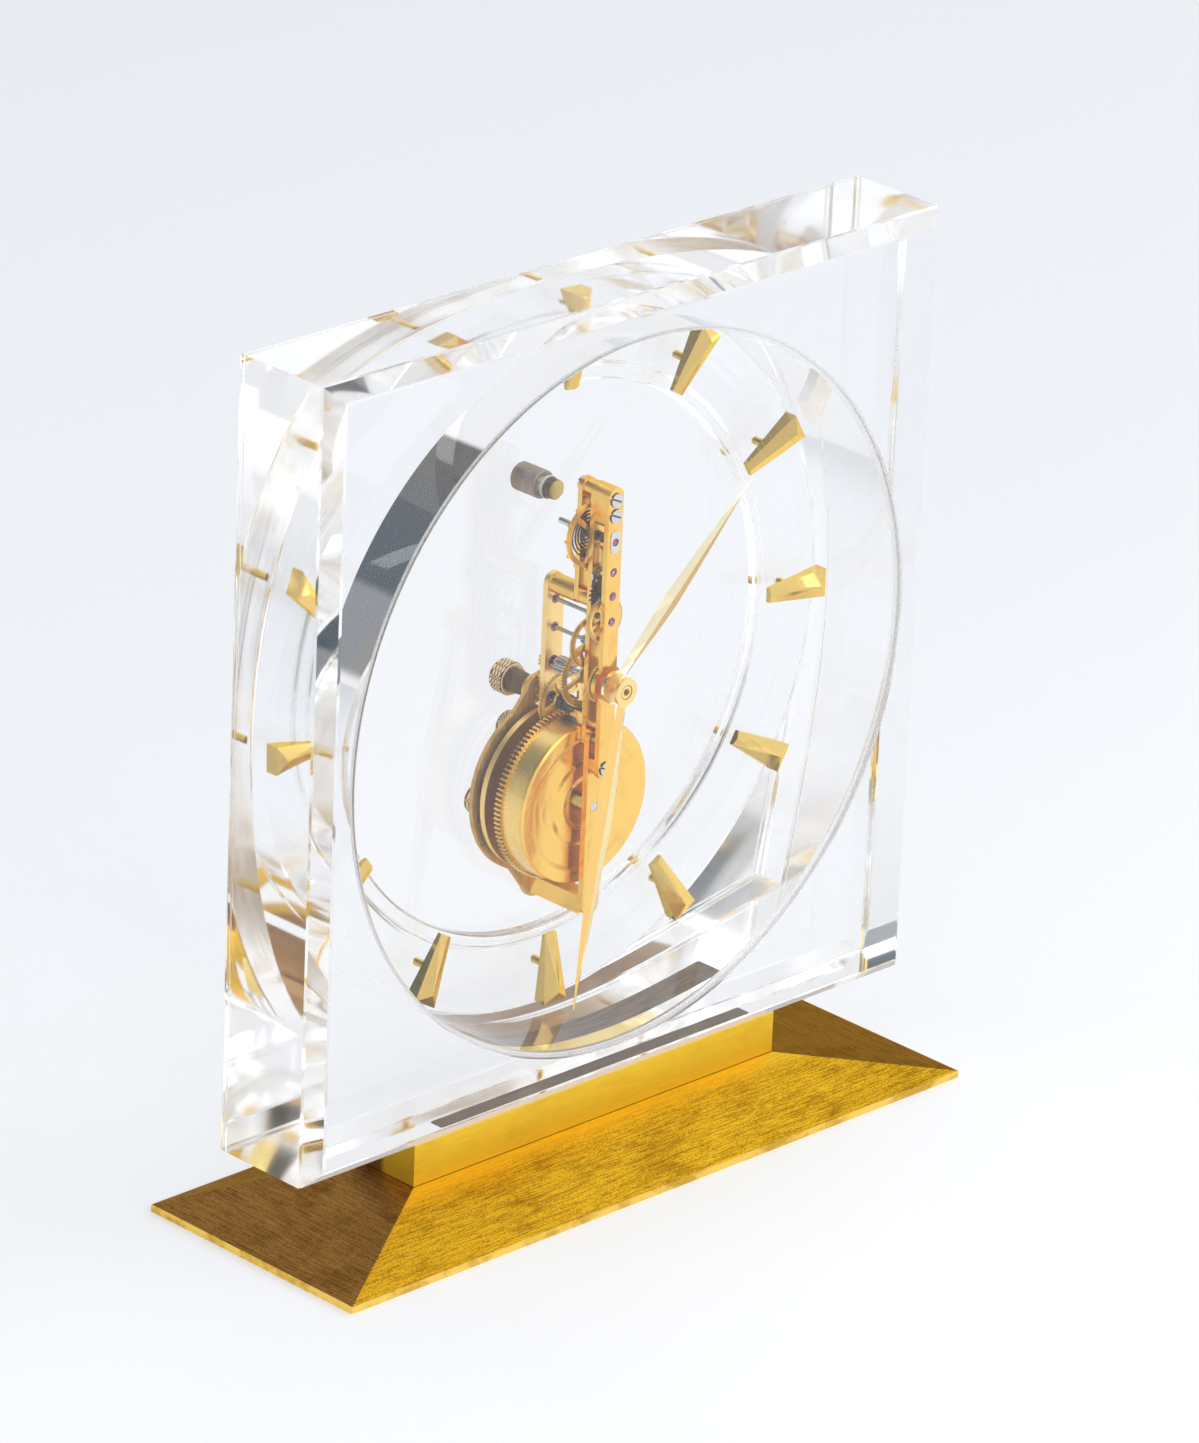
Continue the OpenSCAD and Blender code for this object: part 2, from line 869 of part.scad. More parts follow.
module barrel_cover() {
    y = barrel_front;
    profile = [[winding_shaft + run, y + 0.5], [5, y + 0.5], [6.4, y + 0.1], [9, y], [9.8, y + 0.35],
        [14.6, y + 0.35], [15.6, y], [barrel_wall - 0.4, y], [barrel_wall, y + 0.4],
        [barrel_wall, y + 1.2], [winding_shaft + run, y + 1.2]];
    color(gold)
        at(barrel_z)
            rotate([-90, 0, 0])
                rotate_extrude()
                    polygon(profile);
}

// A flat spiral strip: its points go out along one side and back along the other
function spiral_radius(turn, r0, pitch) = r0 + pitch * turn;
function spiral_points(coil) =
    let (r0 = coil[0], pitch = coil[1], turns = coil[2], thick = coil[3], per_turn = coil[4])
    let (count = turns * per_turn)
    concat(
        [for (k = [0:count]) (spiral_radius(k / per_turn, r0, pitch) - thick / 2)
            * [cos(360 * k / per_turn), sin(360 * k / per_turn)]],
        [for (k = [count:-1:0]) (spiral_radius(k / per_turn, r0, pitch) + thick / 2)
            * [cos(360 * k / per_turn), sin(360 * k / per_turn)]]
    );
function spiral_gap(coil) =
    let (r0 = coil[0], pitch = coil[1], turns = coil[2], thick = coil[3], per_turn = coil[4])
    min([for (k = [0:(turns - 1) * per_turn])
        (spiral_radius(k / per_turn + 1, r0, pitch) - thick / 2) * cos(180 / per_turn)
            - (spiral_radius(k / per_turn, r0, pitch) + thick / 2)]);

// Coils: inner radius, pitch, turns, strip thickness and points in a turn
main_coil = [4.4, 1.45, 8, 0.5, 32];
hair_coil = [1.5, 0.8, 5, 0.2, 24];
echo(mainspring_gap = spiral_gap(main_coil));
echo(hairspring_gap = spiral_gap(hair_coil));

module mainspring() {
    color(dark_steel)
        at(barrel_z)
            slab(barrel_front + 1.5, barrel_back - 1.8) {
                polygon(spiral_points(main_coil));
                translate([15.9, -0.8])
                    square([barrel_wall - 1.25 - 15.9, 1.6]);
            }
}

module barrel_arbor() {
    color(steel)
        at(barrel_z) {
            rod(train_y - 1.4, case_back + 3, 1);
            rod(train_y + 0.2, case_back + 3, winding_shaft);
            rod(barrel_front + 1.4, barrel_back - 1.7, 3.2);
        }
}

module ratchet_wheel() {
    points = [
        for (k = [0:ratchet_teeth - 1])
            each [
                ratchet_radius * [cos(15 * k), sin(15 * k)],
                (ratchet_radius - 0.7) * [cos(15 * k + 1.5), sin(15 * k + 1.5)]
            ]
    ];
    color(steel)
        at(barrel_z)
            slab(plate_back + 0.3, lobe_y - 0.3)
                difference() {
                    polygon(points);
                    circle(r = winding_shaft + fit);
                }
}

module winding_knob() {
    color(dark_gold)
        at(barrel_z)
            difference() {
                union() {
                    rod(case_back + 1.4, case_back + 8, winder_radius);
                    taper(case_back + 8, case_back + 9, winder_radius, winder_radius - 1);
                }
                rod(case_back + 1, case_back + 3 + fit, winding_shaft + fit);
            }
}

// Place of the click's pivot, beside the ratchet wheel
module click_place() {
    translate([click_arm * cos(click_angle), 0, barrel_z + click_arm * sin(click_angle)])
        children();
}

module click() {
    color(steel)
        click_place() {
            slab(plate_back + 0.3, lobe_y - 0.3) {
                circle(r = 1.2);
                polygon([[-0.4, -1.05], [0.5, 1.05], [-4.8, 2.8], [-5.2, 1.95]]);
            }
            rod(plate_y + 0.2, panel_y - 0.2, 0.6);
        }
}

// A leaf pressing on the back of the click, with its foot between the plates
module click_spring() {
    color(steel)
        click_place()
            slab(plate_back, lobe_y - 0.3)
                polygon([[1.6, 5.4], [3.4, 5.4], [3.4, 6.6], [1.6, 6.6], [-3.4, 5], [-3.4, 4.7], [1.6, 6]]);
}

// Going train

module intermediate_arbor() {
    color(dark_steel)
        at(mid_z) {
            arbor(train_y + 0.1, plate_back - 0.1, 0.6, bar_thick, 1.5);
            slab(barrel_back - 2.8, barrel_back + 0.2)
                gear_gap_down(mid_leaves, mod_barrel, 2);
        }
}

module intermediate_wheel() {
    color(gold)
        at(mid_z)
            slab(barrel_back + 0.3, barrel_back + 1)
                difference() {
                    gear_tooth_up(mid_teeth, mod_centre);
                    windows(5.1, 1.8, 4, 0.9);
                    circle(r = 0.6 + fit);
                }
}

module centre_arbor() {
    color(steel)
        at(dial_z) {
            rod(nut_seat - 0.2, lobe_y - 0.25, 0.6);
            slab(barrel_back - 2, barrel_back + 1.6)
                gear_gap_down(centre_leaves, mod_centre, 2);
        }
}

module centre_wheel() {
    color(gold)
        at(dial_z)
            slab(train_back + 1.3, train_back + 2)
                difference() {
                    gear_tooth_up(centre_teeth, mod_third);
                    windows(5.7, 2, 4, 0.9);
                    circle(r = 0.6 + fit);
                }
}

module cannon_pinion() {
    color(steel)
        at(dial_z)
            difference() {
                union() {
                    rod(nut_seat + 0.05, bridge_back + 2, 1);
                    slab(bridge_back + 1.1, bridge_back + 2.3)
                        gear_gap_down(cannon_leaves, mod_cannon, 2);
                }
                rod(minute_y - 2, bridge_back + 3, 0.6 + fit);
            }
}

module setting_wheel() {
    color(gold)
        at(dial_z)
            slab(plate_back + 0.3, lobe_y - 0.3)
                difference() {
                    gear_gap_down(setting_teeth, mod_setting, 2);
                    circle(r = 0.6 + fit);
                }
}

module hour_wheel() {
    color(gold)
        at(dial_z)
            difference() {
                union() {
                    rod(hour_y - 0.8, bridge_back + 0.9, 1.6);
                    slab(bridge_back + 0.3, bridge_back + 0.9)
                        gear_gap_down(hour_teeth, mod_hour);
                }
                rod(hour_y - 2, bridge_back + 1.5, 1 + run);
            }
}

module minute_wheel() {
    color(gold)
        at(minute_z)
            slab(bridge_back + 1.3, bridge_back + 2.1)
                difference() {
                    gear_tooth_up(minute_teeth, mod_cannon);
                    circle(r = 0.5 + run);
                }
    color(steel)
        at(minute_z)
            slab(bridge_back + 0.2, bridge_back + 1.3)
                difference() {
                    gear_tooth_up(minute_leaves, mod_hour, 2);
                    circle(r = 0.5 + run);
                }
}

// A wheel and its pinion on one arbor
module third_wheel() {
    color(gold)
        at(third_z) {
            arbor(train_y + 0.1, plate_back - 0.1, 0.45, bar_thick + 0.1, 1.5);
            slab(train_back + 1.3, train_back + 2.6)
                gear_gap_down(third_leaves, mod_third, 2);
            slab(train_back + 0.4, train_back + 1)
                difference() {
                    gear_tooth_up(third_teeth, mod_fourth);
                    windows(4.6, 1.5, 4, 0.7);
                }
        }
}

module fourth_wheel() {
    color(gold)
        at(fourth_z) {
            arbor(bridge_y + 0.1, plate_back - 0.1, 0.45, bar_thick + 0.1, 1.5);
            slab(train_back + 0.2, train_back + 1.5)
                gear_gap_down(fourth_leaves, mod_fourth, 2);
            slab(bridge_back + 0.5, bridge_back + 1.1)
                difference() {
                    gear_tooth_up(fourth_teeth, mod_escape);
                    windows(4, 1.4, 4, 0.7);
                }
        }
}

module escape_wheel() {
    points = [
        for (k = [0:escape_teeth - 1])
            each [
                escape_radius * [cos(18 * k), sin(18 * k)],
                escape_radius * [cos(18 * k + 3), sin(18 * k + 3)],
                (escape_radius - 0.7) * [cos(18 * k + 5), sin(18 * k + 5)],
                (escape_radius - 0.8) * [cos(18 * k + 14), sin(18 * k + 14)]
            ]
    ];
    color(steel)
        at(escape_z) {
            arbor(bridge_y + 0.1, train_back - 0.1, 0.45, bar_thick + 0.1, bar_thick + 0.1);
            slab(bridge_back + 0.2, bridge_back + 1.4)
                gear_gap_down(escape_leaves, mod_escape, 2);
            slab(bridge_back + 1.9, bridge_back + 2.4)
                difference() {
                    polygon(points);
                    windows(2.3, 1, 4, 0.6);
                }
        }
}

// Lever: two pallet arms over the escape wheel and a fork that reaches up to the roller
module pallet_lever() {
    fork = balance_rise - 1.7;
    color(steel)
        at(lever_z) {
            arbor(bridge_y + 0.1, train_back - 0.1, 0.4, bar_thick + 0.1, bar_thick + 0.1);
            slab(bridge_back + 1.8, bridge_back + 2.5) {
                circle(r = 0.8);
                for (side = [-1, 1])
                    polygon([[side * 0.2, 0.7], [side * 3, -0.7], [side * 2.95, -2], [side * 2.45, -2.15],
                        [side * 2.3, -1.2], [side * 0.3, -0.6]]);
                polygon([[-0.4, 0], [0.4, 0], [0.35, fork - 1], [0.8, fork], [0.45, fork], [0, fork - 0.5],
                    [-0.45, fork], [-0.8, fork], [-0.35, fork - 1]]);
            }
        }
}

// Balance

module balance_wheel() {
    y0 = train_back + 0.6;
    y1 = train_back + 1.4;
    color(gold)
        at(balance_z) {
            slab(y0, y1)
                difference() {
                    circle(r = balance_radius);
                    windows(balance_radius - 0.9, 1.4, 3, 1.1);
                    circle(r = 0.5 + fit);
                }
            for (k = [0:13])
                rotate([0, 360 * (k + 0.5) / 14, 0])
                    translate([0, (y0 + y1) / 2, balance_radius - 0.3])
                        cylinder(h = 1, r = 0.38);
        }
}

module balance_staff() {
    color(steel)
        at(balance_z) {
            arbor(bridge_y + 0.1, arm_back - 0.1, 0.5, bar_thick + 0.1, bar_thick);
            rod(bridge_back + 1.7, bridge_back + 2.3, 1.15);
            translate([0, 0, -0.8])
                rod(bridge_back + 1.2, bridge_back + 1.8, 0.2);
        }
}

module hairspring() {
    coil_y = train_back + 1.7;
    outer = hair_coil[0] + hair_coil[1] * hair_coil[2];
    color(dark_steel)
        at(balance_z) {
            slab(coil_y, coil_y + 0.4)
                rotate(-90)
                    polygon(spiral_points(hair_coil));
            translate([-0.5, coil_y, -outer - 0.6])
                cube([1, arm_y - coil_y, 1.2]);
        }
}

// Setting work

// Idler between the setting arbor below it and the setting wheel above it
module setting_idler() {
    color(gold)
        at(idler_z)
            slab(plate_back + 0.3, lobe_y - 0.3)
                difference() {
                    gear_tooth_up(setting_teeth, mod_setting, 2);
                    circle(r = 0.6 + run);
                }
}

module setting_arbor() {
    color(steel)
        at(mid_z) {
            rod(plate_back + 0.3, knob_y + 1.5, setting_shaft);
            slab(plate_back + 0.3, lobe_y - 0.3)
                rotate(180 / setting_teeth)
                    gear_tooth_up(setting_teeth, mod_setting, 2);
        }
}

module setting_knob() {
    color(dark_gold)
        at(mid_z)
            difference() {
                union() {
                    taper(case_back + 1.3, knob_y - 0.5, setting_shaft + 0.9, setting_shaft + 1.3);
                    taper(knob_y - 0.5, knob_y + 0.3, knob_radius - 0.9, knob_radius);
                    rod(knob_y + 0.3, knob_y + 2.8, knob_radius);
                    taper(knob_y + 2.8, knob_y + 3.6, knob_radius, knob_radius - 0.9);
                }
                rod(case_back, knob_y + 1.5 + fit, setting_shaft + fit);
            }
}

base_plinth();
neck_bar();
base_screws();
acrylic_case();
front_glass();
rear_panel();
for (hour = [1:12])
    hour_marker(hour);
main_plate();
rear_plate();
barrel_bridge();
front_bridge();
train_bridge();
balance_bridge();
frame_pillars();
jewels();
shock_setting();
bridge_screws();
thumb_screws();
access_plug();
shaft_bushes();
click_spring();
hairspring();
barrel_drum();
barrel_cover();
mainspring();
barrel_arbor();
ratchet_wheel();
winding_knob();
click();
intermediate_arbor();
intermediate_wheel();
centre_arbor();
centre_wheel();
cannon_pinion();
setting_wheel();
minute_hand();
hand_nut();
hour_wheel();
hour_hand();
minute_wheel();
third_wheel();
fourth_wheel();
escape_wheel();
pallet_lever();
balance_wheel();
balance_staff();
setting_idler();
setting_arbor();
setting_knob();
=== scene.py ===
"""Dresses the skeleton desk clock: a clear block on a brass foot with an open gilt movement."""

import json
import math

import bmesh
import bpy
from mathutils import Euler, Matrix, Vector

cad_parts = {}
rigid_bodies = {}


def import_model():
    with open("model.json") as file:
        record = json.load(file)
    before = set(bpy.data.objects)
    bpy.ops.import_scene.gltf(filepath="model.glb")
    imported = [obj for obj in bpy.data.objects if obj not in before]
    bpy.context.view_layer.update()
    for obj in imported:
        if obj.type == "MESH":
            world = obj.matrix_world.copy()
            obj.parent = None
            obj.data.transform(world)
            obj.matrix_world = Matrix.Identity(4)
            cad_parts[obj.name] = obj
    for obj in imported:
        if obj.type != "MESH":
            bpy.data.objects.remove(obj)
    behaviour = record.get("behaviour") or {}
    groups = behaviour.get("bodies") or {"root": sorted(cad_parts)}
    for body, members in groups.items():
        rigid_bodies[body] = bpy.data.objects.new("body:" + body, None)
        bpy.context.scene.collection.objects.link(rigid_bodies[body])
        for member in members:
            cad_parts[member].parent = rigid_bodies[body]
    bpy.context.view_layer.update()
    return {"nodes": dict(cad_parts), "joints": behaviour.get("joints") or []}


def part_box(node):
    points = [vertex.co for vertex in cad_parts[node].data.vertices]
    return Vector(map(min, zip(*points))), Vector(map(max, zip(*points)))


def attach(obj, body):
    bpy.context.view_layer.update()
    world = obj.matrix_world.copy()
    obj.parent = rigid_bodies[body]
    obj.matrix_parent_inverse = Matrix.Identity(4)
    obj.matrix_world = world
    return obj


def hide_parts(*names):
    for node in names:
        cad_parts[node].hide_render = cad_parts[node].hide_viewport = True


for start_object in list(bpy.data.objects):
    bpy.data.objects.remove(start_object)
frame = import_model()

bl_info = {
    "name": "Skeleton desk clock",
    "version": (1, 0, 0),
    "blender": (4, 5, 0),
    "location": "3D View > Sidebar > Clock",
    "description": "Clear block clock with an open gilt movement on a brass foot",
    "category": "Object",
}

MM = 0.001
FULL_TURN = 2 * math.pi


def mm(*sizes):
    """Sizes in millimetres as a tuple in metres."""
    return tuple(size * MM for size in sizes)


# Steps round a loop of the block, and the room between loops while they are bridged
LOOP_STEPS, LOOP_SPREAD = 192, 0.02
# Angles in radians: faces nearly in one plane, and the edges that break the smooth shading
FLAT = 0.001
CLEAR_ANGLE, TURNED_ANGLE, KNURL_ANGLE = 0.12, 0.5, 0.2
# Gaps that keep clear faces off their neighbours: faces that lie on each other render black
SEAT, LIFT = 0.05 * MM, 0.03 * MM

CASE_LOW, CASE_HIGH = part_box("acrylic_case")
GLASS_LOW, GLASS_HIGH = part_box("front_glass")
PANEL_LOW, PANEL_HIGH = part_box("rear_panel")
NECK_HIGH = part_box("neck_bar")[1]
FOOT_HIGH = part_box("base_plinth")[1]
DIAL_Z = (GLASS_LOW.z + GLASS_HIGH.z) / 2
GLASS_RADIUS = (GLASS_HIGH.x - GLASS_LOW.x) / 2
PANEL_RADIUS = (PANEL_HIGH.x - PANEL_LOW.x) / 2
BARREL_LOW, BARREL_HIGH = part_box("barrel_drum")
BARREL_Z = (BARREL_LOW.z + BARREL_HIGH.z) / 2
AXIS_Z = {joint["name"]: joint["pos_m"][2] for joint in frame["joints"]}

# Lengths and angles that the frame doesn't give
FOOT_EDGE = 1.5 * MM
BOND_LENGTH, BOND_WIDTH, BOND_THICK = 93 * MM, 7.4 * MM, 0.1 * MM
HOUR_TURN, MINUTE_TURN = math.radians(45.75), math.radians(189)
HUB_RADIUS, NUT_RADIUS = 3.1 * MM, 1.5 * MM
KNOB_EDGE, KNOB_END_WEAR = 0.35 * MM, 0.75
# The ends of a knob, as (share of its radius, step outwards)
KNOB_END = ((0.90, KNOB_EDGE), (0.82, 0.0), (0.78, -0.12 * MM))
THUMB_RADIUS, THUMB_HEAD = 3.6 * MM, 6.7 * MM
SETTING_HEAD = 4.1 * MM
PLUG_SHANK, WASHER_RADIUS, WASHER_THICK = 2 * MM, 2.6 * MM, 0.65 * MM
JEWEL_DEPTH, JEWEL_STEPS = 1.3 * MM, 32
# Outline of the cap jewel, as (radius, depth) in millimetres
CAP_DOME = ((0, -0.06), (0.45, -0.02), (0.72, 0.1), (0.82, 0.22), (0.82, 0.29), (0, 0.29))

# Colours of features within a finish
STEEL_SHADE, ARBOR_STEEL = (0.45, 0.46, 0.5), (0.42, 0.43, 0.46)
# BACK_SHADE_GILT is painted shade: a dark gilt for faces that look backwards, where little light reaches
BACK_SHADE_GILT, WHEEL_GILT = (0.46, 0.28, 0.075), (1.0, 0.72, 0.26)
TOOTH_FOOT_DARK, DRUM_TOOTH_DARK = (0.14, 0.07, 0.02), (0.30, 0.17, 0.045)
# How strongly the clear pieces and the stones bend light
ACRYLIC_IOR, GLASS_IOR, RUBY_IOR = 1.49, 1.40, 1.77
# Roughness of the block: turned ledge, scuffs, outer faces, and the frosted seat of the glass
LEDGE_ROUGH, SCUFF_ROUGH, OUTER_ROUGH, FROST = 0.14, 0.01, 0.085, 0.55

# The photograph's camera, solved from the edges of the block and the foot
CAMERA_PLACE = (-1.2034376, -1.2054522, 0.8130780)
CAMERA_TURN = (1.1741288, -0.0393809, -0.7704520)
SENSOR, PHOTO_FOCAL, PHOTO_HEIGHT = 36.0, 8613.42, 1443


class Val:
    """A number that changes over a surface, with Python's arithmetic."""

    def __init__(self, finish, socket):
        self.finish = finish
        self.socket = socket

    def maths(self, operation, *values):
        return self.finish.node("ShaderNodeMath", {"operation": operation}, dict(enumerate(values)))

    def __add__(self, other):
        return self.maths("ADD", self, other)

    def __sub__(self, other):
        return self.maths("SUBTRACT", self, other)

    def __rsub__(self, other):
        return self.maths("SUBTRACT", other, self)

    def __mul__(self, other):
        return self.maths("MULTIPLY", self, other)

    def __truediv__(self, other):
        return self.maths("DIVIDE", self, other)

    def __rtruediv__(self, other):
        return self.maths("DIVIDE", other, self)

    def __pow__(self, other):
        return self.maths("POWER", self, other)

    __radd__ = __add__
    __rmul__ = __mul__

    def __abs__(self):
        return self.maths("ABSOLUTE", self)

    def above(self, low, high):
        """0 below low, 1 above high, and a smooth step between them."""
        return self.finish.node(
            "ShaderNodeMapRange",
            {"interpolation_type": "SMOOTHSTEP", "clamp": True},
            {"Value": self, "From Min": low, "From Max": high},
        )

    def between(self, rise, top, edge, fall):
        """1 from top to edge, 0 below rise and above fall."""
        return self.above(rise, top) * (1 - self.above(edge, fall))


class Finish:
    """A procedural finish: a material whose nodes are added one by one."""

    def __init__(self, name, tree=None):
        if tree is None:
            self.material = bpy.data.materials.new(name)
            self.material.use_nodes = True
            tree = self.material.node_tree
        self.tree = tree
        tree.nodes.clear()

    def node(self, kind, settings=None, inputs=None, output=0):
        """Adds a node, makes its settings, fills its sockets and gives one output."""
        made = self.tree.nodes.new(kind)
        for key, value in (settings or {}).items():
            setattr(made, key, value)
        for key, value in (inputs or {}).items():
            socket = made.inputs[key]
            if isinstance(value, Val):
                self.tree.links.new(value.socket, socket)
            elif socket.type == "RGBA" and len(value) == 3:
                socket.default_value = (*value, 1)
            else:
                socket.default_value = value
        return Val(self, made.outputs[output]) if made.outputs else None

    def surface(self, **sockets):
        """Ends the material with one shader whose sockets are given with _ for a space."""
        inputs = {key.replace("_", " "): value for key, value in sockets.items()}
        shader = self.node("ShaderNodeBsdfPrincipled", None, inputs)
        self.node("ShaderNodeOutputMaterial", None, {"Surface": shader})
        return self.material

    def place(self, centre=(0, 0, 0), cell=(1, 1, 1), turn=(0, 0, 0)):
        """Object coordinates about a centre, in cells of the given size."""
        seen = self.node("ShaderNodeTexCoord", output="Object")
        return self.node(
            "ShaderNodeMapping",
            {"vector_type": "TEXTURE"},
            {"Vector": seen, "Location": centre, "Rotation": turn, "Scale": cell},
        )

    def split(self, vector):
        """The three parts of a vector."""
        made = self.node("ShaderNodeSeparateXYZ", None, {"Vector": vector}).socket.node.outputs
        return [Val(self, made[name]) for name in "XYZ"]

    def axes(self, centre=(0, 0, 0)):
        """x, y and z about a centre, in metres."""
        return self.split(self.place(centre))

    def radius(self, height):
        """Distance from the line along y at x = 0 and the given height."""
        x, _y, z = self.axes((0, 0, height))
        return (x * x + z * z) ** 0.5

    def facing(self, axis):
        """How far a face looks along an axis of its object, from -1 to 1."""
        normal = self.node("ShaderNodeTexCoord", output="Normal")
        return self.split(normal)["XYZ".index(axis)]

    def grain(self, cell, detail=3.0, rough=0.6, twist=0.0):
        """Noise from 0 to 1 whose specks have the given size along x, y and z."""
        where = self.place(cell=cell)
        return self.node(
            "ShaderNodeTexNoise",
            None,
            {"Vector": where, "Scale": 1.0, "Detail": detail, "Roughness": rough, "Distortion": twist},
        )

    def rings(self, radius, pitch, detail):
        """Noise from 0 to 1 that changes only with the radius, as turning lines do."""
        return self.node(
            "ShaderNodeTexNoise",
            {"noise_dimensions": "1D"},
            {"W": radius / pitch, "Scale": 1.0, "Detail": detail},
        )

    def specks(self, cell, size):
        """1 in scattered specks, 0 elsewhere; size is the share of a cell."""
        where = self.place(cell=(cell,) * 3)
        far = self.node("ShaderNodeTexVoronoi", None, {"Vector": where, "Scale": 1.0, "Randomness": 1.0})
        return 1 - far.above(size * 0.6, size)

    def mix(self, share, first, second):
        """A colour between two colours."""
        return self.node(
            "ShaderNodeMix",
            {"data_type": "RGBA", "clamp_factor": True},
            {0: share, 6: first, 7: second},
            output=2,
        )

    def bump(self, height, depth):
        """A normal from a height of 0 to 1 that stands for the given depth."""
        return self.node("ShaderNodeBump", None, {"Height": height, "Distance": depth, "Strength": 1.0})


def colour_prop(name, text, value):
    return bpy.props.FloatVectorProperty(
        name=name, description=text, subtype="COLOR", size=3, min=0, max=1, default=value
    )


def length_prop(name, text, value):
    return bpy.props.FloatProperty(
        name=name, description=text, unit="LENGTH", precision=5, min=0, default=value
    )


class ClockCaseSettings(bpy.types.PropertyGroup):
    """The clear block, its front glass and its rear panel."""

    chamfer: length_prop("Chamfer", "Width of the cut along the front and back edges", 3.6 * MM)
    bore_radius: length_prop("Bore radius", "Radius of the round room in the block", 80.46 * MM)
    window_radius: length_prop("Window radius", "Radius of the hole in the ledge", 62.46 * MM)
    ledge_front: length_prop("Ledge front", "Depth of the ledge that carries the hour markers", 11 * MM)
    edge_round: length_prop("Edge softening", "Width of the polished softening of an edge", 0.35 * MM)
    acrylic_colour: colour_prop("Block tint", "Tint of the clear block", (0.992, 0.996, 1.0))
    glass_colour: colour_prop("Glass tint", "Tint of the front glass", (1.0, 1.0, 1.0))


class ClockMetalSettings(bpy.types.PropertyGroup):
    """Colours of the metals and stones."""

    foot_colour: colour_prop("Foot brass", "Bright brass of the foot's long slopes", (0.86, 0.52, 0.03))
    foot_stain: colour_prop("Foot stain", "Stain in the brush lines of the long slopes", (0.34, 0.165, 0.012))
    # The flank colours are painted shade: the end slopes and the backs of the foot and the neck get darker,
    # browner brass than the lit front
    shaded_flank_colour: colour_prop("Flank brass", "Browned brass of the foot's end slopes", (0.33, 0.175, 0.058))
    shaded_flank_stain: colour_prop("Flank stain", "Stain in the lines of the end slopes", (0.13, 0.058, 0.016))
    gilt_colour: colour_prop("Gilt", "Gilding of the bridges and wheels", (0.97, 0.60, 0.14))
    gilt_shade: colour_prop("Gilt shade", "Gilding in the brush lines", (0.78, 0.44, 0.075))
    gold_colour: colour_prop("Polished gold", "Gold of the markers and hands", (0.96, 0.66, 0.17))
    gold_shade: colour_prop("Gold shade", "Gold in the polishing lines", (0.74, 0.48, 0.10))
    dull_colour: colour_prop("Dull brass", "Brass of the lobed rear plate", (0.92, 0.63, 0.24))
    dull_shade: colour_prop("Dull brass shade", "Stain on the lobed rear plate", (0.60, 0.38, 0.13))
    knob_colour: colour_prop("Knob brass", "Aged brass of the knobs", (0.95, 0.70, 0.43))
    knob_shade: colour_prop("Knob stain", "Stain in the knurling of the knobs", (0.13, 0.08, 0.045))
    steel_colour: colour_prop("Polished steel", "Steel of screws and arbors", (0.72, 0.73, 0.76))
    dark_steel_colour: colour_prop("Dark steel", "Steel of pinions and springs", (0.16, 0.17, 0.20))
    ruby_colour: colour_prop("Ruby", "Synthetic ruby of the jewels", (0.36, 0.03, 0.16))


class ClockControlSettings(bpy.types.PropertyGroup):
    """The knobs on the back."""

    knurl_pitch: length_prop("Knurl pitch", "Width of one diamond of the knurling", 0.85 * MM)
    knurl_depth: length_prop("Knurl depth", "Depth of the knurling", 0.22 * MM)
    washer_colour: colour_prop("Washer", "Pale washer of the plug", (0.62, 0.63, 0.58))


class ClockStageSettings(bpy.types.PropertyGroup):
    """Floor, light and camera."""

    # Painted shade: the floor fades from near white in front to this darker, bluer colour behind the clock
    shaded_floor_colour: colour_prop("Floor", "Pale paper behind the clock", (0.84, 0.858, 0.888))
    key_power: bpy.props.FloatProperty(
        name="Key light", description="Power of the large lamp overhead", unit="POWER", default=7.0
    )
    side_power: bpy.props.FloatProperty(
        name="Side light", description="Power of the lamp on the right", unit="POWER", default=4.0
    )
    front_power: bpy.props.FloatProperty(
        name="Front light", description="Power of the lamp in front", unit="POWER", default=2.5
    )
    room_light: bpy.props.FloatProperty(
        name="Room light", description="Strength of the light from all around", default=0.87
    )
    clear_bounces: bpy.props.IntProperty(
        name="Clear bounces", description="How often light may turn inside the clear block", default=40
    )


def settings(group):
    """One of the clock's groups of settings."""
    return getattr(bpy.context.scene, "clock_" + group)


def col(value):
    """A colour as a plain tuple."""
    return tuple(value)


def metal(name, bright, shade, cell, rough, depth, stain=0.5, lines=0.55, back=None, wheel=None, left=None):
    """Brushed metal: lines of the given cell size, cloudy stain, and wear in the gloss.

    Back is painted shade, a darker colour on faces that look backwards; left is a painted
    darker reflection on faces that look to the left. Wheel is (axis height, tip radius, core
    radius): the colour darkens towards the foot of the teeth, and the core about the axis is the steel of the
    arbor.
    """
    skin = Finish(name)
    brush = skin.grain(cell, detail=4.0)
    cloud = skin.grain(mm(4, 4, 4), detail=4.0)
    share = brush.above(0.3, 0.75) * lines + cloud.above(0.45, 0.75) * stain
    colour = skin.mix(share, col(bright), col(shade))
    # Painted shade: faces that look backwards take the back colour
    if back:
        colour = skin.mix(skin.facing("Y").above(0.5, 0.9), colour, back)
    # Painted darker reflection: faces that look to the left take the left colour
    if left:
        colour = skin.mix((0 - skin.facing("X")).above(0.15, 0.45) * 0.7, colour, left)
    if wheel:
        height, tip, core = wheel
        radius = skin.radius(height)
        tooth_foot = radius.between(tip - 0.6 * MM, tip - 0.5 * MM, tip - 0.35 * MM, tip - 0.12 * MM)
        colour = skin.mix(tooth_foot * 0.45, colour, TOOTH_FOOT_DARK)
        colour = skin.mix(radius.above(core, core + 0.06 * MM), ARBOR_STEEL, colour)
    return skin.surface(
        Base_Color=colour,
        Metallic=1.0,
        Specular_Tint=(*[min(1.0, 1.1 * part + 0.12) for part in col(bright)], 1),
        Roughness=rough[0] + (rough[1] - rough[0]) * (brush * 0.6 + cloud * 0.4),
        Normal=skin.bump(brush, depth),
    )


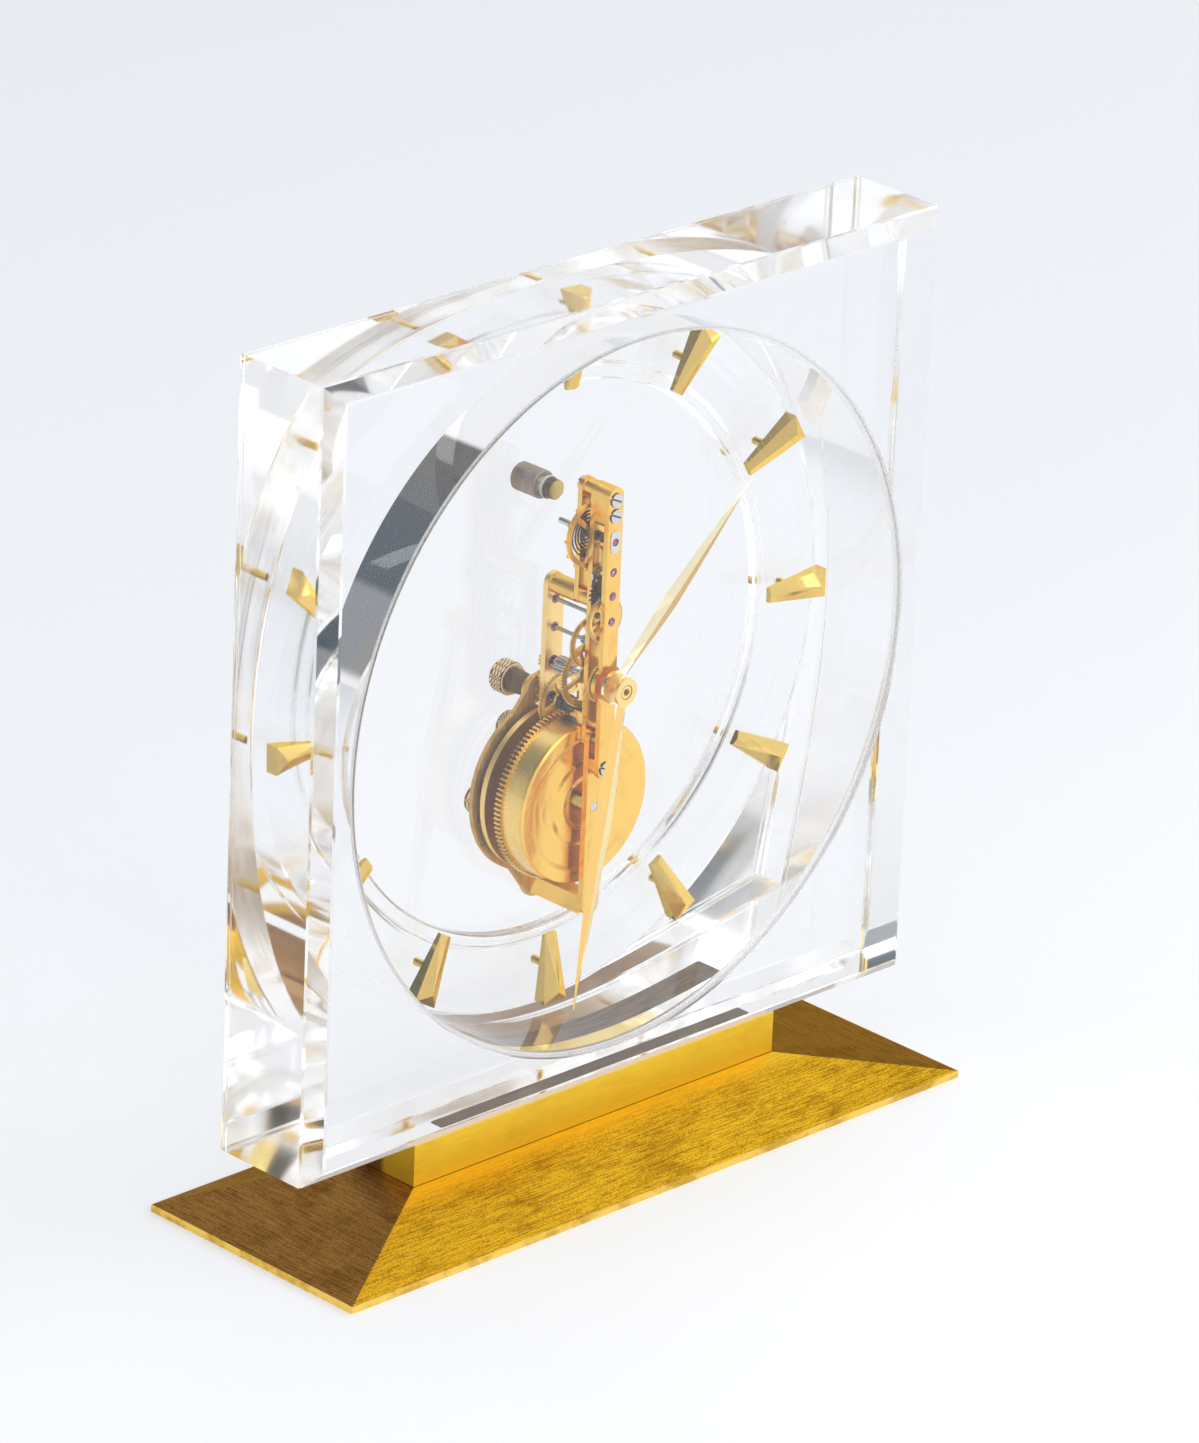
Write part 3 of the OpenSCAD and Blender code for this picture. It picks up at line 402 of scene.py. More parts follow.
def dress(material, *nodes):
    """Gives CAD nodes a finish."""
    for name in nodes:
        for slot in frame["nodes"][name].material_slots:
            slot.material = material


def smooth_curves(bm, angle):
    """Smooth shading on curved walls only: it breaks at every edge sharper than the angle."""
    for edge in bm.edges:
        edge.smooth = len(edge.link_faces) == 2 and edge.calc_face_angle(0) < angle
    for face in bm.faces:
        face.smooth = any(edge.smooth and edge.calc_face_angle(0) > FLAT for edge in face.edges)


def piece(bm, name, material, body, replaces=(), angle=TURNED_ANGLE):
    """Closes a mesh and makes it a piece that rides on a body."""
    bmesh.ops.remove_doubles(bm, verts=bm.verts, dist=1e-7)
    bmesh.ops.recalc_face_normals(bm, faces=bm.faces)
    smooth_curves(bm, angle)
    mesh = bpy.data.meshes.new(name)
    bm.to_mesh(mesh)
    bm.free()
    mesh.materials.append(material)
    made = bpy.data.objects.new(name, mesh)
    bpy.context.scene.collection.objects.link(made)
    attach(made, body)
    if replaces:
        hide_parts(*replaces)
    return made


def middle(node):
    """A round node's corners, the x and z of its axis, and its radius."""
    low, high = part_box(node)
    return low, high, (low.x + high.x) / 2, (low.z + high.z) / 2, (high.x - low.x) / 2


def upright(x, y, z):
    """Matrix that stands a flat circle in the x-z plane at a depth y."""
    return Matrix.Translation((x, y, z)) @ Matrix.Rotation(math.pi / 2, 4, "X")


def new_edges(bm, before):
    """The edges that weren't in the mesh before."""
    return [edge for edge in bm.edges if edge not in before]


def round_loop(bm, radius, y, z, count, x=0.0):
    """A circle of edges that faces along y."""
    before = set(bm.edges)
    bmesh.ops.create_circle(bm, cap_ends=False, segments=count, radius=radius, matrix=upright(x, y, z))
    return new_edges(bm, before)


def square_loop(bm, half, y, z, count):
    """A square of edges whose sides are cut into equal steps."""
    before = set(bm.edges)
    turn = Matrix.Rotation(math.pi / 4, 4, "Z")
    bmesh.ops.create_circle(
        bm, cap_ends=False, segments=4, radius=half * math.sqrt(2), matrix=upright(0, y, z) @ turn
    )
    bmesh.ops.subdivide_edges(bm, edges=new_edges(bm, before), cuts=count // 4 - 1)
    return new_edges(bm, before)


def softened(section, width):
    """A closed section of (kind, size, depth) corners, with each corner cut to a narrow band."""
    made = []
    for before, here, after in zip(section[-1:] + section, section, section[1:] + section[:1]):
        corner = Vector(here[1:])
        for other in (before, after):
            way = Vector(other[1:]) - corner
            made.append((here[0], *(corner + way * min(width / way.length, 0.3))))
    return made


def turned(bm, outline, x, z, steps=48):
    """Spins an outline of (radius, depth) pairs about a line through (x, z)."""
    points = [bm.verts.new((x + radius, depth, z)) for radius, depth in outline]
    lines = [bm.edges.new(pair) for pair in zip(points, points[1:])]
    bmesh.ops.spin(
        bm, geom=points + lines, cent=(x, 0, z), axis=(0, 1, 0), dvec=(0, 0, 0),
        angle=FULL_TURN, steps=steps, use_merge=True, use_duplicate=False,
    )


def grown(bm, edges):
    """Extrudes a loop of edges and gives the new vertices and edges."""
    made = bmesh.ops.extrude_edge_only(bm, edges=edges)["geom"]
    verts = [part for part in made if isinstance(part, bmesh.types.BMVert)]
    fresh = set(verts)
    lines = [part for part in made if isinstance(part, bmesh.types.BMEdge) and fresh.issuperset(part.verts)]
    return verts, lines


def knurled(bm, x, z, front, back, radius, pitch, depth):
    """A knob with a band of diamond knurling, its two ends closed by a chamfer."""
    front, back = front + KNOB_EDGE, back - KNOB_EDGE
    wear = bm.verts.layers.float.get("wear") or bm.verts.layers.float.new("wear")
    around = round(FULL_TURN * radius / pitch)
    rows = 2 * max(2, round((back - front) / pitch))
    centre = Vector((x, 0, z))
    edges = round_loop(bm, radius, front, z, 2 * around, x)
    first = edges
    bands = [list({v for e in edges for v in e.verts})]
    for _row in range(rows):
        verts, edges = grown(bm, edges)
        bmesh.ops.translate(bm, verts=verts, vec=(0, (back - front) / rows, 0))
        bands.append(verts)
    walls = {face for band in bands for v in band for face in v.link_faces}
    low = set()
    for row, band in enumerate(bands):
        for v in band:
            step = math.atan2(v.co.z - z, v.co.x - x) / FULL_TURN * 2 * around
            if row in (0, rows) or (round(step) + row) % 2:
                low.add(v)
            v[wear] = 0.0 if v in low else 1.0
    shrink = 1 - depth / radius
    bmesh.ops.scale(bm, vec=(shrink, 1, shrink), space=Matrix.Translation(-centre), verts=list(low))
    for face in walls:
        pair = [v for v in face.verts if v in low]
        if len(face.verts) == 4 and len(pair) == 2 and not bm.edges.get(pair):
            bmesh.utils.face_split(face, *pair)
    for rim, way in ((first, -1), (edges, 1)):
        for inward, along in KNOB_END:
            verts, rim = grown(bm, rim)
            now = (verts[0].co - Vector((x, verts[0].co.y, z))).length
            ratio = inward * radius / now
            bmesh.ops.scale(bm, vec=(ratio, 1, ratio), space=Matrix.Translation(-centre), verts=verts)
            bmesh.ops.translate(bm, verts=verts, vec=(0, way * along, 0))
            for v in verts:
                v[wear] = KNOB_END_WEAR
        bmesh.ops.contextual_create(bm, geom=rim)


class CLOCK_OT_case(bpy.types.Operator):
    """Makes the clear block with its bore and ledge, the front glass, the rear panel and the bond"""

    bl_idname = "clock.case"
    bl_label = "Clear block and glass"

    def execute(self, context):
        size = settings("case")
        half = (CASE_HIGH.x - CASE_LOW.x) / 2
        front, back = CASE_LOW.y, CASE_HIGH.y
        glass_back = GLASS_HIGH.y + SEAT
        panel_front = PANEL_LOW.y - SEAT
        section = [
            ("square", half - size.chamfer, front),
            ("square", half, front + size.chamfer),
            ("square", half, back - size.chamfer),
            ("square", half - size.chamfer, back),
            ("round", PANEL_RADIUS + SEAT, back),
            ("round", PANEL_RADIUS + SEAT, panel_front),
            ("round", size.window_radius, panel_front),
            ("round", size.window_radius, size.ledge_front),
            ("round", size.bore_radius, size.ledge_front),
            ("round", size.bore_radius, glass_back),
            ("round", GLASS_RADIUS + SEAT, glass_back),
            ("round", GLASS_RADIUS + SEAT, front),
        ]
        bm = bmesh.new()
        self.bridged(bm, softened(section, size.edge_round), True)
        foot_verts = [v for v in bm.verts if v.co.z < NECK_HIGH.z + 0.01 * MM]
        bmesh.ops.translate(bm, verts=foot_verts, vec=(0, 0, LIFT))
        self.clear_piece(bm, "clear_block", self.acrylic(size), "clear_acrylic", "acrylic_case")

        glass = self.glass(size)
        bm = bmesh.new()
        rim = 0.2 * MM
        section = [
            ("round", GLASS_RADIUS - rim, GLASS_LOW.y),
            ("round", GLASS_RADIUS, GLASS_LOW.y + rim),
            ("round", GLASS_RADIUS, GLASS_HIGH.y - rim),
            ("round", GLASS_RADIUS - rim, GLASS_HIGH.y),
        ]
        loops = self.bridged(bm, section, False)
        for end in (loops[0], loops[-1]):
            bmesh.ops.contextual_create(bm, geom=end)
        self.clear_piece(bm, "clear_front_glass", glass, "clear_glass", "front_glass")
        self.clear_piece(self.panel(), "clear_rear_panel", glass, "clear_acrylic", "rear_panel")
        self.bond()
        return {"FINISHED"}

    def clear_piece(self, bm, name, material, slot, node):
        """A clear piece in a node's place, which casts no shadow."""
        made = piece(bm, name, material, "case_body", [node], CLEAR_ANGLE)
        made.visible_shadow = False

    def bond(self):
        """The dark strip of the bond with the neck, which shows through the block above its underside."""
        bm = bmesh.new()
        place = Matrix.Translation((0, 0, NECK_HIGH.z + 2 * LIFT + BOND_THICK / 2))
        size = Matrix.Diagonal((BOND_LENGTH, BOND_WIDTH, BOND_THICK, 1))
        bmesh.ops.create_cube(bm, size=1, matrix=place @ size)
        corners = [edge for edge in bm.edges if abs(edge.verts[0].co.z - edge.verts[1].co.z) > BOND_THICK / 2]
        bmesh.ops.bevel(
            bm, geom=corners, offset=0.8 * MM, offset_type="OFFSET", affect="EDGES",
            segments=4, profile=0.5, material=-1,
        )
        skin = Finish("bond_brown")
        streak = skin.grain(mm(9, 0.8, 0.8), detail=4.0)
        cloud = skin.grain(mm(14, 5, 5), detail=3.0)
        brown = skin.mix(streak.above(0.35, 0.7), (0.085, 0.055, 0.035), (0.20, 0.14, 0.09))
        finish = skin.surface(
            Base_Color=skin.mix(cloud.above(0.5, 0.75) * 0.6, brown, (0.32, 0.24, 0.16)),
            Roughness=0.45 + 0.2 * streak,
            Normal=skin.bump(streak, 0.02 * MM),
        )
        strip = piece(bm, "bond_strip", finish, "case_body")
        strip.visible_glossy = False

    def panel(self):
        """A copy of the drilled rear panel, a little thinner so that no face lies on its neighbours."""
        node = frame["nodes"]["rear_panel"]
        bm = bmesh.new()
        bm.from_mesh(node.data)
        bmesh.ops.transform(bm, matrix=node.matrix_world, verts=bm.verts)
        bmesh.ops.remove_doubles(bm, verts=bm.verts, dist=1e-6)
        for depth, way in ((PANEL_LOW.y, SEAT), (PANEL_HIGH.y, -SEAT)):
            face = [v for v in bm.verts if abs(v.co.y - depth) < SEAT]
            bmesh.ops.translate(bm, verts=face, vec=(0, way, 0))
        return bm

    def bridged(self, bm, section, closed):
        """Bridges the loops of a section, spaced out along y first so that none share a plane."""
        loops = [
            self.loop(bm, kind, size, step * LOOP_SPREAD) for step, (kind, size, _y) in enumerate(section)
        ]
        for first, second in zip(loops, loops[1:] + (loops[:1] if closed else [])):
            bmesh.ops.bridge_loops(bm, edges=first + second)
        for step, (loop, corner) in enumerate(zip(loops, section)):
            verts = list({v for edge in loop for v in edge.verts})
            bmesh.ops.translate(bm, verts=verts, vec=(0, corner[2] - step * LOOP_SPREAD, 0))
        return loops

    def loop(self, bm, kind, size, y):
        """A square loop about the block's middle, or a round one about the dial's."""
        if kind == "square":
            return square_loop(bm, size, y, (CASE_LOW.z + CASE_HIGH.z) / 2, LOOP_STEPS)
        return round_loop(bm, size, y, DIAL_Z, LOOP_STEPS)

    def acrylic(self, size):
        """Clear acrylic: a turned ledge, hand-polished outer faces, a frosted seat for the glass."""
        skin = Finish("block_acrylic")
        x, y, z = skin.axes((0, 0, DIAL_Z))
        radius = skin.radius(DIAL_Z)
        on_ledge = 1 - abs(y - size.ledge_front).above(0.1 * MM, 0.3 * MM)
        on_ledge = on_ledge * radius.above(size.window_radius, size.window_radius + 0.5 * MM)
        lines = skin.rings(radius, 0.5 * MM, 2.0)
        scuffs = skin.grain(mm(9, 9, 2), detail=6.0).above(0.62, 0.8)
        face_half = (CASE_HIGH.x - CASE_LOW.x) / 2 - size.chamfer
        inner = [1 - (abs(way) - face_half).above(0.0, 0.2 * MM) for way in (x, z)]
        outer = 1 - inner[0] * inner[1]
        seat = radius.between(
            size.bore_radius - 0.3 * MM, size.bore_radius - 0.1 * MM,
            GLASS_RADIUS + 0.2 * MM, GLASS_RADIUS + 0.4 * MM,
        )
        seat = seat * (1 - y.above(GLASS_HIGH.y + 0.3 * MM, GLASS_HIGH.y + 0.5 * MM))
        rough = LEDGE_ROUGH * on_ledge * lines + SCUFF_ROUGH * scuffs
        return skin.surface(
            Base_Color=col(size.acrylic_colour),
            Roughness=rough + OUTER_ROUGH * outer + FROST * seat,
            IOR=ACRYLIC_IOR,
            Transmission_Weight=1.0,
            Normal=skin.bump(lines * on_ledge, 0.15 * MM),
        )

    def glass(self, size):
        """Clear glass with a little dust and haze, and a frosted rim."""
        skin = Finish("front_glass_clear")
        dust = skin.specks(9 * MM, 0.03)
        haze = skin.grain(mm(14, 14, 14), detail=5.0).above(0.6, 0.9)
        rim = skin.radius(DIAL_Z).above(GLASS_RADIUS - 0.5 * MM, GLASS_RADIUS - 0.3 * MM)
        return skin.surface(
            Base_Color=skin.mix(dust, col(size.glass_colour), (0.75, 0.72, 0.68)),
            Roughness=haze * 0.006 + FROST * rim,
            IOR=GLASS_IOR,
            Transmission_Weight=1.0,
        )


class CLOCK_OT_foot(bpy.types.Operator):
    """Gives the foot and its neck their brushed brass"""

    bl_idname = "clock.foot"
    bl_label = "Brass foot"

    def execute(self, context):
        look = settings("metal")
        skin = Finish("foot_brushed_brass")
        x, y, z = skin.axes()
        run_x = FOOT_HIGH.x - NECK_HIGH.x
        run_y = FOOT_HIGH.y - NECK_HIGH.y
        # Painted shade: the end slopes and the back take the shaded flank colours
        side = ((abs(x) - NECK_HIGH.x) / run_x - (abs(y) - NECK_HIGH.y) / run_y).above(-0.01, 0.01)
        behind = y.above(-1 * MM, 1 * MM)
        along_x = skin.grain(mm(8, 0.26, 0.26), detail=4.0, rough=0.75)
        along_y = skin.grain(mm(0.26, 9, 0.26), detail=4.0, rough=0.75)
        pits = skin.grain(mm(0.55, 0.36, 0.36), detail=3.0)
        cloud = skin.grain(mm(14, 8, 8), detail=6.0, rough=0.65)
        edge = (1 - z.above(FOOT_EDGE, FOOT_EDGE + 0.25 * MM)).above(0.4, 0.6)
        brush = along_x * (1 - side) + along_y * side
        wear = brush.above(0.42, 0.6) * 0.75 + pits.above(0.48, 0.64) * 0.6
        wear = wear + (cloud.above(0.42, 0.7) - 0.4) * 0.4
        near = 1 - ((abs(y) - NECK_HIGH.y) / run_y).above(0.0, 0.3)
        slope = skin.mix(wear * (1 - 0.6 * near), col(look.foot_colour), col(look.foot_stain))
        slope = skin.mix(near * 0.3, slope, (1.0, 0.70, 0.07))
        flank = skin.mix(wear, col(look.shaded_flank_colour), col(look.shaded_flank_stain))
        face = skin.mix(side + behind, slope, flank)
        rim = skin.mix(cloud.above(0.45, 0.6), (0.98, 0.69, 0.17), (0.70, 0.43, 0.07))
        brass = skin.surface(
            Base_Color=skin.mix(edge, face, rim),
            Metallic=1.0,
            Specular_Tint=(0.8, 0.6, 0.32, 1),
            Roughness=0.26 + 0.22 * brush + 0.1 * cloud - 0.1 * edge,
            Normal=skin.bump(brush, 0.02 * MM),
        )
        dress(brass, "base_plinth")
        dress(self.neck_brass(look), "neck_bar")
        screw = metal(
            "foot_screw_steel", look.steel_colour, look.dark_steel_colour,
            mm(0.4, 0.4, 0.4), (0.25, 0.4), 0.01 * MM,
        )
        dress(screw, "base_screws")
        return {"FINISHED"}

    def neck_brass(self, look):
        """Brass brushed lengthwise, with a painted highlight along the top, painted shade behind, and a dark
        joint at the foot.
        """
        skin = Finish("neck_brushed_brass")
        _x, y, z = skin.axes()
        brush = skin.grain(mm(7, 7, 0.3), detail=3.0)
        cloud = skin.grain(mm(12, 12, 5), detail=5.0)
        # Painted highlight: a pale band along the top of the neck
        bevel = z.above(NECK_HIGH.z - 2.3 * MM, NECK_HIGH.z - 1.7 * MM)
        joint = 1 - z.above(FOOT_HIGH.z + 0.12 * MM, FOOT_HIGH.z + 0.3 * MM)
        share = brush.above(0.4, 0.7) * 0.25 + cloud.above(0.45, 0.7) * 0.4
        bright = skin.mix(share, (1.0, 0.72, 0.07), (0.84, 0.53, 0.04))
        bright = skin.mix(bevel * 0.75, bright, (1.0, 0.84, 0.34))
        # Painted shade: the back half takes the shaded flank colour
        shown = skin.mix(y.above(-1 * MM, 1 * MM), bright, col(look.shaded_flank_colour))
        return skin.surface(
            Base_Color=skin.mix(joint * 0.9, shown, (0.10, 0.05, 0.01)),
            Metallic=1.0,
            Specular_Tint=(1, 0.8, 0.25, 1),
            Roughness=0.3 + 0.16 * cloud,
            Normal=skin.bump(brush, 0.006 * MM),
        )


class CLOCK_OT_dial(bpy.types.Operator):
    """Gives the hour markers and the hands their polished gold"""

    bl_idname = "clock.dial"
    bl_label = "Markers and hands"

    def execute(self, context):
        look = settings("metal")
        # The markers' facets that look left are darkened: a painted darker reflection
        gold = metal(
            "marker_polished_gold", look.gold_colour, look.gold_shade,
            mm(1.6, 0.25, 1.6), (0.07, 0.16), 0.001 * MM, 0.3, 0.2, left=(0.42, 0.29, 0.09),
        )
        dress(gold, *[f"hour_marker_{hour}" for hour in range(1, 13)])
        # Each hand's pale colour is a painted highlight on one facet, and its deeper colour is painted shade
        # on the other
        hour = self.hand_gold("hour_hand_gold", HOUR_TURN, (1.0, 0.90, 0.60), (0.66, 0.40, 0.075))
        dress(hour, "hour_hand")
        minute = self.hand_gold("minute_hand_gold", MINUTE_TURN, (1.0, 0.80, 0.38), (0.90, 0.56, 0.13))
        dress(minute, "minute_hand", "hand_nut")
        return {"FINISHED"}

    def hand_gold(self, name, turn, pale, shade_facet_colour):
        """Polished gold of a ridged hand, with a painted highlight on its trailing facet, painted shade on
        its leading facet and its back, and a dark line about its nut.
        """
        skin = Finish(name)
        lines = skin.grain(mm(0.3, 0.3, 3), detail=4.0)
        cloud = skin.grain(mm(4, 4, 4), detail=4.0)
        radius = skin.radius(DIAL_Z)
        hub = 1 - radius.above(HUB_RADIUS, HUB_RADIUS + 0.6 * MM)
        shaded_facet = skin.facing("X") * math.cos(turn) - skin.facing("Z") * math.sin(turn)
        # Painted highlight on the trailing facet and painted shade on the leading facet
        colour = skin.mix(shaded_facet.above(0.05, 0.25) * (0.7 + 0.5 * lines) * (1 - hub), pale, shade_facet_colour)
        # Painted shade: faces that look backwards are darker
        colour = skin.mix(skin.facing("Y").above(0.5, 0.9), colour, (0.62, 0.40, 0.10))
        seam = radius.between(NUT_RADIUS - 0.1 * MM, NUT_RADIUS, NUT_RADIUS + 0.1 * MM, NUT_RADIUS + 0.2 * MM)
        colour = skin.mix(hub * 0.6, colour, (0.97, 0.66, 0.19))
        colour = skin.mix(seam * 0.85, colour, (0.20, 0.10, 0.02))
        return skin.surface(
            Base_Color=colour,
            Metallic=1.0,
            Roughness=0.05 + 0.08 * cloud + 0.05 * lines + 0.2 * hub,
            Normal=skin.bump(lines, 0.0006 * MM),
        )


class CLOCK_OT_movement(bpy.types.Operator):
    """Gives plates, bridges, wheels, arbors and springs their finishes"""

    bl_idname = "clock.movement"
    bl_label = "Movement"

    def execute(self, context):
        look = settings("metal")
        bar = metal(
            "bridge_gilt", look.gilt_colour, look.gilt_shade,
            mm(0.35, 0.35, 14), (0.16, 0.32), 0.006 * MM, 0.4, 0.35, BACK_SHADE_GILT,
        )
        dress(bar, "front_bridge", "train_bridge", "balance_bridge", "barrel_bridge", "frame_pillars")
        plate = metal(
            "plate_gilt", (1.0, 0.74, 0.32), look.gilt_colour,
            mm(0.35, 0.35, 14), (0.25, 0.42), 0.006 * MM, 0.4, 0.35, BACK_SHADE_GILT,
        )
        dress(plate, "main_plate", "hour_wheel", "cannon_pinion")
        rear = metal(
            "rear_plate_dull_brass", look.dull_colour, look.dull_shade,
            mm(0.6, 0.6, 6), (0.48, 0.64), 0.015 * MM, 0.8,
        )
        dress(rear, "rear_plate")
        gilding = (mm(1.2, 0.3, 1.2), (0.3, 0.46), 0.004 * MM, 0.3, 0.3, BACK_SHADE_GILT)
        wheel = metal("wheel_gilt", look.gilt_colour, look.gilt_shade, *gilding)
        dress(wheel, "minute_wheel", "setting_wheel", "setting_idler", "balance_wheel", "shaft_bushes")
        for name, core in (
            ("third_wheel", 1.75), ("fourth_wheel", 1.5), ("centre_wheel", 0.6), ("intermediate_wheel", 0.6),
        ):
            _low, high, _x, height, _radius = middle(name)
            teeth = (height, high.x, core * MM)
            dress(metal(name + "_gilt", WHEEL_GILT, look.gilt_colour, *gilding, teeth), name)
        drum = self.turned_gilt("drum_gilt", look, 0.25 * MM, (0.98, 0.70, 0.22), (0.18, 0.18), 2, True)
        dress(drum, "barrel_drum")
        cover = self.turned_gilt("cover_gilt", look, 0.4 * MM, (0.99, 0.62, 0.13), (0.16, 0.18), 4, False)
        dress(cover, "barrel_cover")
        steel = metal(
            "polished_steel", look.steel_colour, STEEL_SHADE,
            mm(0.25, 2, 0.25), (0.12, 0.28), 0.004 * MM, 0.3,
        )
        dress(self.screw_steel(look), "bridge_screws")
        dress(
            steel, "shock_setting", "barrel_arbor", "setting_arbor",
            "ratchet_wheel", "click", "pallet_lever",
        )
        dress(self.arbor_steel(look), "centre_arbor")
        dark = metal(
            "dark_steel", look.dark_steel_colour, (0.05, 0.05, 0.06),
            mm(0.3, 2, 0.3), (0.2, 0.34), 0.004 * MM, 0.3,
        )
        dress(dark, "intermediate_arbor", "balance_staff", "click_spring", "escape_wheel")
        spring = metal(
            "spring_blue_steel", (0.10, 0.11, 0.16), (0.03, 0.03, 0.05),
            mm(0.5, 0.5, 0.5), (0.2, 0.34), 0.002 * MM, 0.4,
        )
        dress(spring, "hairspring", "mainspring")
        return {"FINISHED"}

    def screw_steel(self, look):
        """Polished screw heads with painted shade in the slots and on the sides under the front bridge's
        heads.
        """
        skin = Finish("screw_steel")
        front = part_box("bridge_screws")[0].y
        _x, y, _z = skin.axes((0, front, 0))
        # Painted shade: the slots and the sides under the heads are dark
        slot = y.between(0.06 * MM, 0.1 * MM, 0.9 * MM, 1.0 * MM)
        lines = skin.grain(mm(0.2, 0.2, 1.5))
        head = skin.mix(lines, col(look.steel_colour), (0.50, 0.51, 0.54))
        return skin.surface(
            Base_Color=skin.mix(slot, head, (0.14, 0.13, 0.12)),
            Metallic=1.0,
            Roughness=0.1 + 0.15 * lines + 0.3 * slot,
        )

    def arbor_steel(self, look):
        """Polished steel whose front end is painted dark, as the shade in a pit."""
        skin = Finish("arbor_steel")
        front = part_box("centre_arbor")[0].y
        _x, y, _z = skin.axes((0, front, 0))
        # Painted shade: the front end of the arbor is dark
        pit_shade = 1 - y.above(0.05 * MM, 0.15 * MM)
        lines = skin.grain(mm(0.25, 2, 0.25))
        side = skin.mix(lines, col(look.steel_colour), STEEL_SHADE)
        return skin.surface(
            Base_Color=skin.mix(pit_shade, side, (0.16, 0.10, 0.05)),
            Metallic=1.0,
            Roughness=0.12 + 0.16 * lines + 0.2 * pit_shade,
        )

    def turned_gilt(self, name, look, pitch, bright, rough, waves, toothed):
        """Gilding with the rings of the lathe, a slow waviness in its polish, and a darker colour between any
        teeth.
        """
        skin = Finish(name)
        radius = skin.radius(BARREL_Z)
        lines = skin.rings(radius, pitch, 3.0)
        cloud = skin.grain(mm(7, 7, 7), detail=3.0)
        wave = skin.grain(mm(9, 9, 9), detail=1.0, twist=1.2)
        share = lines.above(0.35, 0.7) * 0.12 + cloud.above(0.5, 0.8) * 0.4
        colour = skin.mix(share, bright, col(look.gilt_shade))
        if toothed:
            tip = BARREL_HIGH.x
            _x, y, _z = skin.axes()
            ring = y.above(BARREL_HIGH.y - 1.55 * MM, BARREL_HIGH.y - 1.45 * MM)
            gap = ring * (1 - radius.above(tip - 0.5 * MM, tip - 0.15 * MM))
            root = radius.above(tip - 1.3 * MM, tip - 1.2 * MM)
            colour = skin.mix(gap * (0.55 + 0.4 * root), colour, DRUM_TOOTH_DARK)
        return skin.surface(
            Base_Color=colour,
            Metallic=1.0,
            Roughness=rough[0] + rough[1] * (0.6 * lines + 0.4 * cloud),
            Normal=skin.bump(wave * waves + lines * 0.04, 0.05 * MM),
        )


class CLOCK_OT_jewels(bpy.types.Operator):
    """Makes the dished ruby bearings and the cap jewel of the balance"""

    bl_idname = "clock.jewels"
    bl_label = "Jewels"

    def execute(self, context):
        look = settings("metal")
        skin = Finish("ruby_jewel")
        flaw = skin.grain(mm(0.8, 0.8, 0.8), detail=3.0)
        ruby = skin.surface(
            Base_Color=skin.mix(flaw.above(0.3, 0.7), col(look.ruby_colour), (0.16, 0.01, 0.10)),
            Roughness=0.05 + 0.08 * flaw,
            Coat_Weight=0.6,
            IOR=RUBY_IOR,
        )
        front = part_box("jewels")[0].y
        arm_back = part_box("balance_bridge")[1].y
        bridge = (front, front + JEWEL_DEPTH)
        plate = [corner.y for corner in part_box("main_plate")]
        arm = (arm_back - JEWEL_DEPTH, arm_back)
        bm = bmesh.new()
        for joint, radius, hole, depths in (
            ("fourth_turn", 1.0, 0.3, bridge),
            ("escape_turn", 1.0, 0.3, bridge),
            ("lever_rock", 1.0, 0.3, bridge),
            ("fourth_turn", 1.1, 0.3, plate),
            ("third_turn", 1.1, 0.3, plate),
            ("centre_turn", 1.4, 0.68, plate),
            ("intermediate_turn", 1.3, 0.3, plate),
            ("balance_swing", 1.1, 0.3, arm),
        ):
            self.jewel(bm, AXIS_Z[joint], radius * MM, hole * MM, *depths)
        piece(bm, "ruby_bearings", ruby, "case_body", ["jewels"])

        bm = bmesh.new()
        dome = [(radius * MM, front + depth * MM) for radius, depth in CAP_DOME]
        turned(bm, dome, 0, AXIS_Z["balance_swing"], JEWEL_STEPS)
        piece(bm, "balance_cap_jewel", ruby, "case_body")
        return {"FINISHED"}

    def jewel(self, bm, height, radius, hole, front, back):
        """A ring of ruby, dished on both faces so that oil stays at the pivot."""
        lip = 0.07 * MM
        dish = 0.35 * MM
        flat = hole + (radius - hole) * 0.68
        turned(
            bm,
            [(hole, front + dish), (flat, front), (radius - lip, front), (radius, front + lip),
             (radius, back - lip), (radius - lip, back), (flat, back), (hole, back - dish),
             (hole, front + dish)],
            0, height, JEWEL_STEPS,
        )


